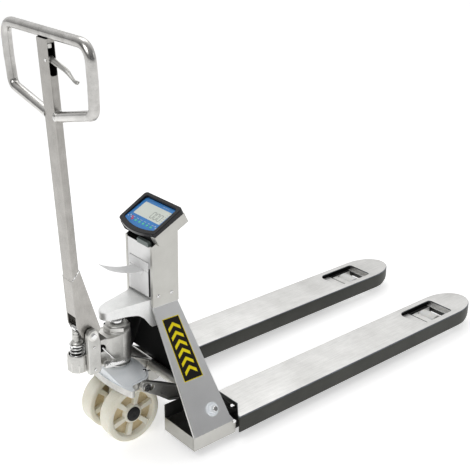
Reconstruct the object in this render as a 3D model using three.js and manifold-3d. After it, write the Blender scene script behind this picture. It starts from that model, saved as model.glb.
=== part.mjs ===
// Pallet scale: a hand pallet truck whose forks weigh the load.
// Millimetres, +Z up, +X towards the fork tips, Y = 0 on the centre plane, Z = 0 on the floor.
// Lengths along X are measured from the rear face of the fork heels; the last lines shift the whole
// truck so that the origin lies under the middle of its bounding box.
import * as THREE from "three";
import { mergeVertices } from "three/addons/utils/BufferGeometryUtils.js";
import Module from "manifold-3d";

const wasm = await Module();
wasm.setup();

// ---------------------------------------------------------------- driving dimensions

const GAP = 0.3; // clearance between pieces that touch
const BIG = 3000;

// forks
const FORK_TRACK = 403; // distance between the two fork centre planes
const COVER_WIDTH = 155;
const COVER_REAR = 163;
const COVER_NOTCH = 204; // rear edge of the cover on its inner side
const COVER_TIP = 1347;
const COVER_TOP = 85; // top of the lowered forks
const COVER_SKIRT = 54.5;
const COVER_SHEET = 4;
const TIP_LENGTH = 124;
const OPENING = { rear: 1036, front: 1214, width: 107, corner: 16 };

// heel boxes and chassis
const HEEL_OUTER = 267.9; // outer face of the heel from the centre plane
const HEEL_WIDTH = 144;
const HEEL_BOTTOM = 29.7;
const HEEL_LIP = 45.2;
const HEEL_LENGTH = 155;
const SHEET = 5;
const COLUMN = { rear: 10, depth: 92, halfWidth: 65.7, bottom: 412, top: 596, sheet: 2 };

// steering unit
const STEER_X = -75; // steering axis, which is also the pump axis
const WHEEL = { radius: 90, width: 50, outer: 75 };
const AXLE_RADIUS = 10;
const BASE = { bottom: 184, top: 206, hubTop: 236 };
const KINGPIN_RADIUS = 18;
const KINGPIN_TOP = 246.5;
const PUMP_RADIUS = 40;

// lift linkage
const LINK_PIN = { x: -54, z: 195, radius: 7 };
const SHAFT = { x: 116, z: 107, radius: 17 };
const SHAFT_LUG = 32;
const LIFT_ANGLE = 36.4; // degrees that the rocker turns over the whole lift
const ROD_Z = 56;
const ROLLER_PIVOT = { x: 1000, z: 38 };
const ROLLER_AXLE = { x: 1150, z: 37 };
const ROLLER = { radius: 37, width: 66 };
const FRAME_LUG = 23.6;
const FRAME_ANGLE = 50.3; // degrees that a roller frame turns over the whole lift

// tiller
const TILLER_PIVOT = { x: -182, z: 380 };
const TILLER_LEAN = 2.69; // degrees towards the operator at rest
const TUBE = { along: 25, across: 50, wall: 3, offset: 24.5, top: 832 };
const LOOP = { rod: 14, halfWidth: 204, top: 848, side: 700, low: 668, lowHalf: 158, root: 634 };
const PLUNGER_X = -210;
const PRESS_ROLLER = { dx: -28, dz: 17, radius: 9 };

// indicator
const INDICATOR = { width: 176, length: 118, tilt: 26, depth: 46, x: 0, z: 651 };

// ---------------------------------------------------------------- shape helpers

function material(colour, roughness, metalness) {
  return () => new THREE.MeshStandardMaterial({ color: colour, roughness, metalness });
}
const STEEL = material(0xb9b8b2, 0.34, 1);
const CAST = material(0xbfbfba, 0.42, 1);
const PALE_PLATE = material(0xc9d0d8, 0.4, 1);
const DARK_STEEL = material(0x4a4a46, 0.5, 1);
const BLACK = material(0x17171a, 0.6, 0);
const NYLON = material(0xeee8cf, 0.45, 0);
const RUBBER = material(0x1c1c1c, 0.8, 0);
const CHROME = material(0xdadada, 0.15, 1);
const WHITE_PLASTIC = material(0xe9e9e6, 0.5, 0);
const PAPER = material(0xf5f4ef, 0.9, 0);
const BLUE_FILM = material(0x2f6fbe, 0.35, 0);
const LCD = material(0xcfd8c8, 0.2, 0);
const RED = material(0xd8324a, 0.4, 0);
const GREEN = material(0x35b48d, 0.4, 0);

// A closed three.js geometry as a solid that can be joined and cut.
function solid(geometry) {
  const bare = geometry.index ? geometry.clone() : geometry;
  bare.deleteAttribute("normal");
  bare.deleteAttribute("uv");
  const merged = mergeVertices(bare, 1e-4);
  return new wasm.Manifold(
    new wasm.Mesh({
      numProp: 3,
      vertProperties: merged.attributes.position.array,
      triVerts: new Uint32Array(merged.index.array),
    }),
  );
}

function geometryOf(made) {
  const mesh = made.getMesh();
  const positions = new Float32Array(mesh.numVert * 3);
  for (let i = 0; i < mesh.numVert; i += 1) {
    for (let k = 0; k < 3; k += 1) positions[3 * i + k] = mesh.vertProperties[i * mesh.numProp + k];
  }
  const geometry = new THREE.BufferGeometry();
  geometry.setAttribute("position", new THREE.BufferAttribute(positions, 3));
  geometry.setIndex(new THREE.BufferAttribute(new Uint32Array(mesh.triVerts), 1));
  return geometry;
}

// A block between two corners.
function block(x0, x1, y0, y1, z0, z1) {
  const geometry = new THREE.BoxGeometry(x1 - x0, y1 - y0, z1 - z0);
  geometry.translate((x0 + x1) / 2, (y0 + y1) / 2, (z0 + z1) / 2);
  return solid(geometry);
}

// A round bar along an axis, from one end to the other, about the point given by the other two coordinates.
function bar(axis, radius, from, to, a, b, sides = 24) {
  const geometry = new THREE.CylinderGeometry(radius, radius, to - from, sides);
  const middle = (from + to) / 2;
  if (axis === "x") {
    geometry.rotateZ(-Math.PI / 2);
    geometry.translate(middle, a, b);
  } else if (axis === "y") {
    geometry.translate(a, middle, b);
  } else {
    geometry.rotateX(Math.PI / 2);
    geometry.translate(a, b, middle);
  }
  return solid(geometry);
}

function shapeOf(points) {
  return new THREE.Shape(points.map(([a, b]) => new THREE.Vector2(a, b)));
}

function extrude(shape, depth, curveSegments = 12) {
  return new THREE.ExtrudeGeometry(shape, { depth, bevelEnabled: false, curveSegments, steps: 1 });
}

// Outline in X and Z, swept along Y.
function sweepY(shape, y0, y1, curveSegments) {
  const geometry = extrude(shape, y1 - y0, curveSegments);
  geometry.rotateX(Math.PI / 2);
  geometry.translate(0, y1, 0);
  return solid(geometry);
}

// Outline in X and Y, swept upwards.
function sweepZ(shape, z0, z1, curveSegments) {
  const geometry = extrude(shape, z1 - z0, curveSegments);
  geometry.translate(0, 0, z0);
  return solid(geometry);
}

// Outline in Y and Z, swept along X.
function sweepX(shape, x0, x1, curveSegments) {
  const geometry = extrude(shape, x1 - x0, curveSegments);
  const turn = new THREE.Matrix4().makeBasis(
    new THREE.Vector3(0, 1, 0),
    new THREE.Vector3(0, 0, 1),
    new THREE.Vector3(1, 0, 0),
  );
  geometry.applyMatrix4(turn);
  geometry.translate(x0, 0, 0);
  return solid(geometry);
}

// A body of revolution about the vertical line at x, y; the profile is [radius, height] pairs, bottom first.
function turned(profile, x, y, sides = 32) {
  const geometry = new THREE.LatheGeometry(
    profile.map(([r, z]) => new THREE.Vector2(r, z)),
    sides,
  );
  geometry.rotateX(Math.PI / 2);
  geometry.translate(x, y, 0);
  return solid(geometry);
}

// The same, about the line along Y through x, z; the profile is [radius, y] pairs, lowest y first.
function turnedY(profile, x, z, sides = 40) {
  const geometry = new THREE.LatheGeometry(
    profile.map(([r, y]) => new THREE.Vector2(r, y)),
    sides,
  );
  geometry.translate(x, 0, z);
  return solid(geometry);
}

// Mirrors a solid from one side of the centre plane to the other.
function mirrorY(made) {
  return made.mirror([0, 1, 0]);
}

function rotatedAboutY(made, degrees, x, z) {
  return made.translate([-x, 0, -z]).rotate([0, degrees, 0]).translate([x, 0, z]);
}

function roundedRectangle(x0, x1, y0, y1, radius) {
  const shape = new THREE.Shape();
  shape.moveTo(x0 + radius, y0);
  shape.lineTo(x1 - radius, y0);
  shape.absarc(x1 - radius, y0 + radius, radius, -Math.PI / 2, 0, false);
  shape.lineTo(x1, y1 - radius);
  shape.absarc(x1 - radius, y1 - radius, radius, 0, Math.PI / 2, false);
  shape.lineTo(x0 + radius, y1);
  shape.absarc(x0 + radius, y1 - radius, radius, Math.PI / 2, Math.PI, false);
  shape.lineTo(x0, y0 + radius);
  shape.absarc(x0 + radius, y0 + radius, radius, Math.PI, 1.5 * Math.PI, false);
  return shape;
}

const truck = new THREE.Group();

function add(name, made, finish) {
  const mesh = new THREE.Mesh(geometryOf(made), finish());
  mesh.name = name;
  truck.add(mesh);
  return mesh;
}

// Builds a piece for the right-hand side (negative Y) and its mirror image for the left.
function addPair(name, made, finish) {
  add(`${name}_right`, made, finish);
  add(`${name}_left`, mirrorY(made), finish);
}

const radians = THREE.MathUtils.degToRad;

// ---------------------------------------------------------------- chassis

// The side plate stands upright along the heel, leans in to the column and stands upright inside it.
function sidePlate() {
  const bend = COLUMN.halfWidth - COLUMN.sheet - GAP;
  const outer = [
    [-HEEL_OUTER, HEEL_BOTTOM],
    [-HEEL_OUTER, HEEL_BOTTOM + HEEL_LIP],
    [-bend, COLUMN.bottom - 2],
    [-bend, COLUMN.bottom + 46],
  ];
  const inner = [
    [-bend + SHEET, COLUMN.bottom + 46],
    [-bend + SHEET, COLUMN.bottom - 0.5],
    [-HEEL_OUTER + SHEET, HEEL_BOTTOM + HEEL_LIP - 1.5],
    [-HEEL_OUTER + SHEET, HEEL_BOTTOM],
  ];
  const section = sweepX(shapeOf([...outer, ...inner].reverse()), -2, HEEL_LENGTH + 5);
  const outline = shapeOf([
    [0, HEEL_BOTTOM],
    [HEEL_LENGTH, HEEL_BOTTOM],
    [HEEL_LENGTH + 3, 70],
    [150, 76],
    [141, 92],
    [100, 410],
    [96, COLUMN.bottom + 46],
    [COLUMN.rear + 4, COLUMN.bottom + 46],
    [COLUMN.rear + 4, COLUMN.bottom - 1],
    [11, COLUMN.bottom - 4],
    [0, HEEL_BOTTOM + HEEL_LIP],
  ]);
  return section.intersect(sweepY(outline, -HEEL_OUTER - 2, 0));
}
addPair("side_plate", sidePlate(), STEEL);

// Half the clear width between the side plates at a height.
function insideHalfWidth(z) {
  const low = HEEL_BOTTOM + HEEL_LIP;
  const share = (z - low) / (COLUMN.bottom - 2 - low);
  const outer = HEEL_OUTER + (COLUMN.halfWidth - COLUMN.sheet - GAP - HEEL_OUTER) * share;
  return outer - 7;
}

function frontWall() {
  const thick = 4;
  const slab = sweepY(
    shapeOf([
      [139, 62],
      [139, 95],
      [97, 405],
      [97 - thick, 405],
      [139 - thick, 95],
      [139 - thick, 62],
    ]),
    -BIG / 8,
    BIG / 8,
  );
  const opening = sweepX(
    shapeOf([
      [-118, 60],
      [-118, 130],
      [-insideHalfWidth(130) + 4, 130],
      [-insideHalfWidth(402), 402],
      [insideHalfWidth(402), 402],
      [insideHalfWidth(130) - 4, 130],
      [118, 130],
      [118, 60],
    ].reverse()),
    50,
    200,
  );
  return slab.intersect(opening);
}
add("front_wall", frontWall(), BLACK);

// The arm that rests on the piston: a top plate that narrows to a round nose, with cheeks that deepen rearwards.
function crosshead() {
  const nose = STEER_X - 28;
  const root = 90;
  const plan = new THREE.Shape();
  plan.moveTo(root, -52);
  plan.lineTo(root, 52);
  plan.lineTo(14, 55.5);
  plan.lineTo(nose, 27);
  plan.absarc(nose, 0, 27, Math.PI / 2, 1.5 * Math.PI, false);
  plan.lineTo(14, -55.5);
  plan.closePath();
  const side = shapeOf([
    [-140, 396],
    [-60, 395.5],
    [-30, 391],
    [-12, 380],
    [14, 345],
    [root, 345],
    [root, 433],
    [14, 433],
    [-100, 427],
    [-122, 421],
    [-140, 410],
  ]);
  const body = sweepZ(plan, 300, 500).intersect(sweepY(side, -80, 80));
  const hollow = block(-50, root + 1, -40, 40, 300, 418).add(block(-20, root + 1, -46, 46, 300, 418));
  return body.subtract(hollow);
}
add("crosshead", crosshead(), CAST);

// Open-topped heel box welded to the rails that run inside the fork.
const RAIL = { rear: 200, front: 1262, half: 55, bottom: 34, top: 66, wall: 5 };
function liftFrame() {
  const outer = -HEEL_OUTER + SHEET + 1;
  const inner = -HEEL_OUTER + HEEL_WIDTH;
  const floor = HEEL_BOTTOM;
  const middle = -FORK_TRACK / 2;
  const r = RAIL;
  const tall = sweepY(
    shapeOf([
      [0, floor],
      [160, floor],
      [160, 76],
      [60, 118],
      [0, 118],
    ]),
    inner - 4,
    inner,
  );
  const box = block(0, 4, outer, inner, floor, floor + HEEL_LIP)
    .add(block(3, 160, outer + 4, inner, floor, floor + 3.5))
    .add(block(150, 225, middle - 52, middle + 70, floor, floor + 3.5))
    .add(tall);
  const endPlate = block(r.rear, r.rear + 5, middle - r.half, middle + 70, floor, r.top).subtract(
    block(r.rear - 1, r.rear + 6, middle - 15, middle + 15, 42, 80),
  );
  const rails = block(r.rear, r.front, middle - r.half, middle - r.half + r.wall, r.bottom, r.top)
    .add(block(r.rear, r.front, middle + r.half - r.wall, middle + r.half, r.bottom, r.top))
    .add(block(r.rear + 24, r.front, middle - r.half, middle + r.half, r.top - 3.5, r.top))
    .add(block(r.rear, r.rear + 25, middle - r.half, middle + r.half, floor, r.bottom + 4))
    .add(block(r.front - 32, r.front, middle - r.half, middle + r.half, r.bottom, r.top));
  const window = block(945, r.front - 36, middle - 47, middle + 47, 20, 80);
  const shaftNotch = bar("y", SHAFT.radius + 0.6, -BIG / 8, 0, SHAFT.x, SHAFT.z, 28);
  return box.add(rails).add(endPlate).subtract(window).subtract(shaftNotch);
}
const pivotHole = bar("y", 7, -BIG / 8, 0, ROLLER_PIVOT.x, ROLLER_PIVOT.z, 20);
addPair("lift_frame", liftFrame().subtract(pivotHole), DARK_STEEL);

// Plan of a fork cover about its own centre line; outward is negative.
function coverPlan(inset) {
  const half = COVER_WIDTH / 2 - inset;
  const bend = COVER_TIP - TIP_LENGTH;
  const plan = new THREE.Shape();
  plan.moveTo(COVER_REAR + inset, -half);
  plan.lineTo(bend, -half);
  plan.absellipse(bend, 0, TIP_LENGTH - inset, half, -Math.PI / 2, Math.PI / 2, false);
  plan.lineTo(COVER_NOTCH + inset, half);
  plan.lineTo(COVER_NOTCH + inset, -half + 62);
  plan.lineTo(COVER_REAR + inset, -half + 8);
  plan.closePath();
  return plan;
}

function forkCover() {
  const bottom = COVER_TOP - COVER_SKIRT;
  const outside = sweepZ(coverPlan(0), bottom, COVER_TOP, 14);
  const inside = sweepZ(coverPlan(COVER_SHEET), bottom - 1, COVER_TOP - COVER_SHEET, 14);
  const w = OPENING.width / 2;
  const opening = sweepZ(roundedRectangle(OPENING.rear, OPENING.front, -w, w, OPENING.corner), 60, 100, 4);
  const rise = sweepY(
    shapeOf([
      [COVER_TIP - 110, bottom - 5],
      [COVER_TIP + 5, bottom - 5],
      [COVER_TIP + 5, bottom + 32],
      [COVER_TIP - 20, bottom + 20],
      [COVER_TIP - 60, bottom + 7],
    ]),
    -100,
    100,
  );
  const rearDoor = block(COVER_REAR - 5, COVER_NOTCH + 10, -73.4, 73.4, bottom - 2, 72);
  const cover = outside.subtract(inside).subtract(opening).subtract(rise).subtract(rearDoor);
  return cover.translate([0, -FORK_TRACK / 2, 0]);
}
addPair("fork_cover", forkCover(), STEEL);

// Load cells lie between the rails and the cover, one at each end of each fork.
const CELL = { length: 120, width: 28, bottom: 66 + GAP, top: COVER_TOP - COVER_SHEET - GAP };
[
  ["rear", 300],
  ["front", 860],
].forEach(([place, x]) => {
  const middle = -FORK_TRACK / 2;
  const beam = block(x - 60, x + 60, middle - 14, middle + 14, CELL.bottom, CELL.top)
    .subtract(block(x - 34, x + 34, middle - 15, middle + 15, CELL.top - 3, CELL.top + 1))
    .subtract(bar("y", 4, middle - 20, middle + 20, x - 12, 72.5, 16))
    .subtract(bar("y", 4, middle - 20, middle + 20, x + 12, 72.5, 16));
  addPair(`load_cell_${place}`, beam, CHROME);
});

// ---------------------------------------------------------------- indicator column

function columnShell() {
  const c = COLUMN;
  const front = c.rear + c.depth;
  const outside = block(c.rear, front, -c.halfWidth, c.halfWidth, c.bottom, c.top + 50);
  const inside = block(
    c.rear + 2,
    front - c.sheet,
    -c.halfWidth + c.sheet,
    c.halfWidth - c.sheet,
    c.bottom - 1,
    c.top + 60,
  );
  const face = block(c.rear - 1, c.rear + 5, -56, 56, c.bottom - 1, c.top + 60);
  const topLine = shapeOf([
    [-50, indicatorUnderside(-50) - 1],
    [200, indicatorUnderside(200) - 1],
    [200, 1200],
    [-50, 1200],
  ]);
  return outside.subtract(inside).subtract(face).subtract(sweepY(topLine, -200, 200));
}

// Height of the indicator's tilted underside at a distance along X.
function indicatorUnderside(x) {
  const tilt = radians(INDICATOR.tilt);
  return INDICATOR.z + (x - INDICATOR.x) * Math.tan(tilt) - INDICATOR.depth / Math.cos(tilt);
}
add("column_shell", columnShell(), STEEL);

const PANEL = { x: 10.4, thick: 2.2, half: 55.4, bottom: 438, top: 600 };
const PRINTER = { half: 47.5, bottom: 441, top: 548, split: 520 };
function frontPanel() {
  const p = PANEL;
  return block(p.x, p.x + p.thick, -p.half, p.half, p.bottom, p.top).subtract(
    block(p.x - 1, p.x + 5, -PRINTER.half - 1, PRINTER.half + 1, PRINTER.bottom - 1, PRINTER.top + 1),
  );
}
add("operator_panel", frontPanel(), WHITE_PLASTIC);

function printerBody() {
  const p = PRINTER;
  const shell = block(8.5, 70, -p.half, p.half, p.bottom, p.top)
    .subtract(block(4, 62, -40, 40, p.bottom + 8, p.split - 2))
    .subtract(block(4, 14, -p.half - 1, p.half + 1, p.bottom - 1, p.split));
  return shell;
}
add("printer_body", printerBody(), WHITE_PLASTIC);
const ROLL = { radius: 24, inner: 6, half: 28.5, x: 36, z: 478 };
add(
  "printer_lid",
  block(8, 11, -PRINTER.half + 1, PRINTER.half - 1, PRINTER.bottom + 0.5, PRINTER.split - 1.2),
  WHITE_PLASTIC,
);

// One length of paper: the roll behind the lid, and the end that leaves the slot and curls upwards.
function paper() {
  const thick = 0.6;
  const reach = 126;
  const rise = 36;
  const steps = 10;
  const slot = PRINTER.split - 0.85;
  const low = [
    [ROLL.x - ROLL.radius + 0.2, ROLL.z],
    [ROLL.x - ROLL.radius + 0.2, slot - 6],
    [ROLL.x - ROLL.radius - 1, slot],
  ];
  const high = [
    [ROLL.x - ROLL.radius + 0.2 + thick, ROLL.z],
    [ROLL.x - ROLL.radius + 0.2 + thick, slot - 6],
    [ROLL.x - ROLL.radius - 1 + thick, slot + thick],
  ];
  for (let i = 1; i <= steps; i += 1) {
    const t = i / steps;
    const x = ROLL.x - ROLL.radius - 1 - reach * t;
    const z = slot + rise * t * t + 2 * t * t;
    low.push([x, z]);
    high.push([x, z + thick]);
  }
  const strip = sweepY(shapeOf([...low, ...high.reverse()].reverse()), -ROLL.half, ROLL.half);
  const roll = bar("y", ROLL.radius, -ROLL.half, ROLL.half, ROLL.x, ROLL.z, 28);
  return roll.add(strip).subtract(bar("y", ROLL.inner, -ROLL.half - 1, ROLL.half + 1, ROLL.x, ROLL.z, 16));
}
add("paper", paper(), PAPER);

// Pieces of the indicator are drawn lying flat, with X from the operator's edge and Z = 0 on the
// bezel's face, and are then tilted into place.
function tilted(made) {
  return made.rotate([0, -INDICATOR.tilt, 0]).translate([INDICATOR.x, 0, INDICATOR.z]);
}

// Outline whose operator-side edge bulges towards the operator.
function bulgedOutline(x0, x1, half, bulge, radius) {
  const shape = new THREE.Shape();
  const corner = radius;
  shape.moveTo(x1 - corner, -half);
  shape.absarc(x1 - corner, -half + corner, corner, -Math.PI / 2, 0, false);
  shape.lineTo(x1, half - corner);
  shape.absarc(x1 - corner, half - corner, corner, 0, Math.PI / 2, false);
  shape.lineTo(x0 + corner, half);
  shape.quadraticCurveTo(x0, half, x0 - corner * 0.2, half - corner);
  shape.quadraticCurveTo(x0 - 2 * bulge + corner * 0.2, 0, x0 - corner * 0.2, -half + corner);
  shape.quadraticCurveTo(x0, -half, x0 + corner, -half);
  shape.closePath();
  return shape;
}

const BEZEL = { half: 88, thick: 13, bulge: 15, corner: 12, hood: 6 };
const BEZEL_FACE = { x0: 12, x1: 106, half: 74, depth: 4.2 };
// The rim rises from the operator's edge to a hood behind the display.
function bezel() {
  const b = BEZEL;
  const f = BEZEL_FACE;
  const outline = bulgedOutline(0, INDICATOR.length, b.half, b.bulge, b.corner);
  const above = sweepY(
    shapeOf([
      [-40, 0],
      [0, 0],
      [INDICATOR.length + 1, b.hood],
      [INDICATOR.length + 1, 40],
      [-40, 40],
    ]),
    -b.half - 10,
    b.half + 10,
  );
  const body = sweepZ(outline, -b.thick, b.hood + 1, 8).subtract(above);
  const recess = sweepZ(bulgedOutline(f.x0, f.x1, f.half, b.bulge * 0.8, 7), -f.depth, 30, 8);
  const through = block(f.x0 + 10, f.x1 - 6, -f.half + 10, f.half - 10, -b.thick - 1, 1);
  return tilted(body.subtract(recess).subtract(through));
}
add("indicator_bezel", bezel(), BLACK);

const KEY = { radius: 4.6, x: 20, travel: 0.5 };
const KEY_PLACES = [
  ["power", 41],
  ["zero", 23],
  ["tare", 5],
  ["unit", -13],
  ["print", -31],
  ["total", -49],
];
const FILM = { x0: 13, x1: 105, half: 73, z0: -4.2 + GAP, z1: -2.7 };
const DISPLAY = { x0: 39, x1: 91, y0: -66, y1: 60 };
function keyFilm() {
  const f = FILM;
  const d = DISPLAY;
  const film = sweepZ(bulgedOutline(f.x0, f.x1, f.half, BEZEL.bulge * 0.75, 6), f.z0, f.z1, 8);
  let cut = film.subtract(block(d.x0 - 0.4, d.x1 + 0.4, d.y0 - 0.4, d.y1 + 0.4, -8, 1));
  KEY_PLACES.forEach(([, y]) => {
    cut = cut.subtract(bar("z", KEY.radius + 0.4, -8, 1, KEY.x, y, 20));
  });
  return tilted(cut);
}
add("key_film", keyFilm(), BLUE_FILM);
add(
  "display_window",
  tilted(block(DISPLAY.x0, DISPLAY.x1, DISPLAY.y0, DISPLAY.y1, FILM.z0, FILM.z1)),
  LCD,
);
KEY_PLACES.forEach(([name, y]) => {
  add(
    `key_${name}`,
    tilted(bar("z", KEY.radius, FILM.z0 + 0.6, FILM.z1 + 0.6, KEY.x, y, 16)),
    name === "power" ? RED : GREEN,
  );
});

function indicatorHousing() {
  const half = BEZEL.half - 2;
  const length = INDICATOR.length - 1.5;
  const outside = block(1.5, length, -half, half, -INDICATOR.depth, -BEZEL.thick - GAP);
  const inside = block(3.5, length - 2, -half + 2, half - 2, -INDICATOR.depth + 2, 0);
  return tilted(outside.subtract(inside));
}
add("indicator_housing", indicatorHousing(), STEEL);

// ---------------------------------------------------------------- lift linkage

function mirrored([a, b]) {
  return [a, -b];
}

// Plate that the pump turns on: it carries the linkage pins and the hub of the thrust bearing.
function basePlate() {
  const outline = new THREE.Shape();
  const half = [
    [-112, 122],
    [-100, 122],
    [-96, 100],
    [-92, 96.5],
    [-41, 93],
  ];
  outline.moveTo(...mirrored(half[0]));
  half.slice(1).forEach((point) => outline.lineTo(...mirrored(point)));
  outline.quadraticCurveTo(-12, -78, -4, -40);
  outline.lineTo(-4, 40);
  outline.quadraticCurveTo(-12, 78, ...half[4]);
  half.slice(0, 4).reverse().forEach((point) => outline.lineTo(...point));
  outline.quadraticCurveTo(-146, 0, ...mirrored(half[0]));
  const plate = sweepZ(outline, BASE.bottom, BASE.top, 10);
  const hub = turned(
    [
      [0, BASE.top - 2],
      [60, BASE.top - 2],
      [58, BASE.top + 4],
      [44, BASE.hubTop],
      [0, BASE.hubTop],
    ],
    STEER_X,
    0,
  );
  const bore = bar("z", KINGPIN_RADIUS + 1, 150, 260, STEER_X, 0, 28);
  const shaftHole = bar("y", LINK_PIN.radius + GAP, -150, 150, LINK_PIN.x, LINK_PIN.z, 20);
  return plate.add(hub).subtract(bore).subtract(shaftHole);
}
add("base_plate", basePlate(), PALE_PLATE);

// One pin a side, with its head outside the rocker arm.
function linkPin() {
  return bar("y", LINK_PIN.radius, -116, -70, LINK_PIN.x, LINK_PIN.z, 20).add(
    bar("y", 13, -119, -115, LINK_PIN.x, LINK_PIN.z, 6),
  );
}
addPair("link_pin", linkPin(), CHROME);

add(
  "thrust_bearing",
  turned(
    [
      [21, BASE.hubTop + GAP],
      [36, BASE.hubTop + GAP],
      [36, BASE.hubTop + 6],
      [21, BASE.hubTop + 6],
      [21, BASE.hubTop + GAP],
    ],
    STEER_X,
    0,
  ),
  CHROME,
);

// Torsion shaft with a long arm to each linkage pin and a short lug down to each push rod.
function rocker() {
  const dx = LINK_PIN.x - SHAFT.x;
  const dz = LINK_PIN.z - SHAFT.z;
  const reach = Math.hypot(dx, dz);
  const angle = (Math.atan2(dz, -dx) * 180) / Math.PI;
  const arm = new THREE.Shape();
  arm.moveTo(SHAFT.x, SHAFT.z - 16.5);
  arm.lineTo(SHAFT.x, SHAFT.z + 16.5);
  arm.lineTo(SHAFT.x - reach + 60, SHAFT.z + 19);
  arm.lineTo(SHAFT.x - reach, SHAFT.z + 16);
  arm.absarc(SHAFT.x - reach, SHAFT.z, 16, Math.PI / 2, 1.5 * Math.PI, false);
  arm.lineTo(SHAFT.x - reach + 60, SHAFT.z - 24);
  arm.lineTo(SHAFT.x - reach + 110, SHAFT.z - 34);
  arm.closePath();
  let flat = sweepY(arm, -112, -98, 8);
  const slot = roundedRectangle(
    SHAFT.x - reach - 9.5,
    SHAFT.x - reach + 31,
    SHAFT.z - 10.5,
    SHAFT.z + 10.5,
    10,
  );
  flat = flat.subtract(sweepY(slot, -120, -90, 5));
  const right = rotatedAboutY(flat, angle, SHAFT.x, SHAFT.z);
  const middle = -FORK_TRACK / 2;
  const lugHalf = 5;
  const lugBar = block(-9, 9, middle - lugHalf, middle + lugHalf, -SHAFT_LUG, 0)
    .add(bar("y", 12, middle - lugHalf, middle + lugHalf, 0, -SHAFT_LUG, 20))
    .subtract(bar("y", 8, middle - 20, middle + 20, 0, -SHAFT_LUG, 20))
    .rotate([0, LIFT_ANGLE / 2, 0])
    .translate([SHAFT.x, 0, SHAFT.z]);
  const half = 232;
  const shaft = bar("y", SHAFT.radius, -half, half, SHAFT.x, SHAFT.z, 28);
  const sideParts = right.add(lugBar);
  return shaft.add(sideParts).add(mirrorY(sideParts));
}
add("rocker", rocker(), CAST);

// Push rod: a clevis at each end, a bar that steps down behind the heel and runs under the rails' top.
function pushRod() {
  const middle = -FORK_TRACK / 2;
  const start = radians(LIFT_ANGLE / 2);
  const rearX = SHAFT.x - SHAFT_LUG * Math.sin(start);
  const rearZ = SHAFT.z - SHAFT_LUG * Math.cos(start);
  const frameStart = radians(FRAME_ANGLE / 2);
  const frontX = ROLLER_PIVOT.x - FRAME_LUG * Math.sin(frameStart);
  const frontZ = ROD_Z + 4.5;
  const rise = shapeOf([
    [rearX + 20, rearZ - 7],
    [168, rearZ - 7],
    [190, ROD_Z - 5.5],
    [250, ROD_Z - 5.5],
    [250, ROD_Z + 5.5],
    [194, ROD_Z + 5.5],
    [172, rearZ + 5],
    [rearX + 20, rearZ + 5],
  ]);
  let rod = sweepY(rise, middle - 6, middle + 6);
  rod = rod.add(bar("x", 5.5, 249, frontX - 24, middle, ROD_Z, 16));
  [
    [rearX, rearZ, 1],
    [frontX, frontZ, -1],
  ].forEach(([x, z, toRod]) => {
    const far = x + toRod * 30;
    const near = x - toRod * 8;
    const tall = toRod > 0 ? 8 : 5;
    [-1, 1].forEach((side) => {
      const y = middle + side * 9;
      rod = rod.add(block(Math.min(near, far), Math.max(near, far), y - 2.5, y + 2.5, z - tall, z + tall));
    });
    const web = x + toRod * 22;
    rod = rod.add(block(Math.min(web, far), Math.max(web, far), middle - 11, middle + 11, z - 5, z + 5));
    rod = rod.add(bar("y", 4, middle - 11, middle + 11, x, z, 16));
  });
  return rod;
}
addPair("push_rod", pushRod(), DARK_STEEL);

// Load-roller frame: two cheeks and a cross bar, turning on a pin in the rails.
function rollerFrame() {
  const middle = -FORK_TRACK / 2;
  const p = ROLLER_PIVOT;
  const a = ROLLER_AXLE;
  const cheek = shapeOf([
    [p.x - 12, p.z - 8],
    [p.x + 20, p.z - 11],
    [a.x - 6, a.z - 11],
    [a.x + 9, a.z - 8],
    [a.x + 11, a.z + 2],
    [a.x + 6, a.z + 10],
    [a.x - 30, a.z + 14],
    [p.x + 20, p.z + 13],
    [p.x - 6, p.z + 11],
    [p.x - 12, p.z + 4],
  ]);
  let frame = sweepY(cheek, middle + 36, middle + 41).add(sweepY(cheek, middle - 41, middle - 36));
  frame = frame.add(block(p.x + 52, p.x + 66, middle - 38, middle + 38, p.z - 6, p.z + 14));
  frame = frame.add(bar("y", 12, middle - 38, middle + 38, p.x, p.z, 20));
  const lug = block(-8, 8, middle - 5, middle + 5, 0, FRAME_LUG)
    .add(bar("y", 9.5, middle - 5, middle + 5, 0, FRAME_LUG, 20))
    .subtract(bar("y", 6.5, middle - 20, middle + 20, 0, FRAME_LUG, 20))
    .rotate([0, -FRAME_ANGLE / 2, 0])
    .translate([p.x, 0, p.z]);
  frame = frame.add(lug).subtract(bar("y", 6.5, middle - 60, middle + 60, p.x, p.z, 20));
  return frame.subtract(bar("y", 6.3, middle - 60, middle + 60, a.x, a.z, 20));
}
addPair("roller_frame", rollerFrame(), DARK_STEEL);

function rollerPin(place, radius, reach) {
  const middle = -FORK_TRACK / 2;
  return bar("y", radius, middle - reach, middle + reach, place.x, place.z, 20);
}
addPair("roller_pivot_pin", rollerPin(ROLLER_PIVOT, 6, 56), CHROME);
addPair("load_roller_axle", rollerPin(ROLLER_AXLE, 6, 43), CHROME);

function loadRoller() {
  const half = ROLLER.width / 2;
  const middle = -FORK_TRACK / 2;
  return turnedY(
    [
      [6.4, middle - half],
      [ROLLER.radius - 2, middle - half],
      [ROLLER.radius, middle - half + 2],
      [ROLLER.radius, middle + half - 2],
      [ROLLER.radius - 2, middle + half],
      [6.4, middle + half],
      [6.4, middle - half],
    ],
    ROLLER_AXLE.x,
    ROLLER_AXLE.z,
  );
}
addPair("load_roller", loadRoller(), NYLON);

// ---------------------------------------------------------------- pump and steering

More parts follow.
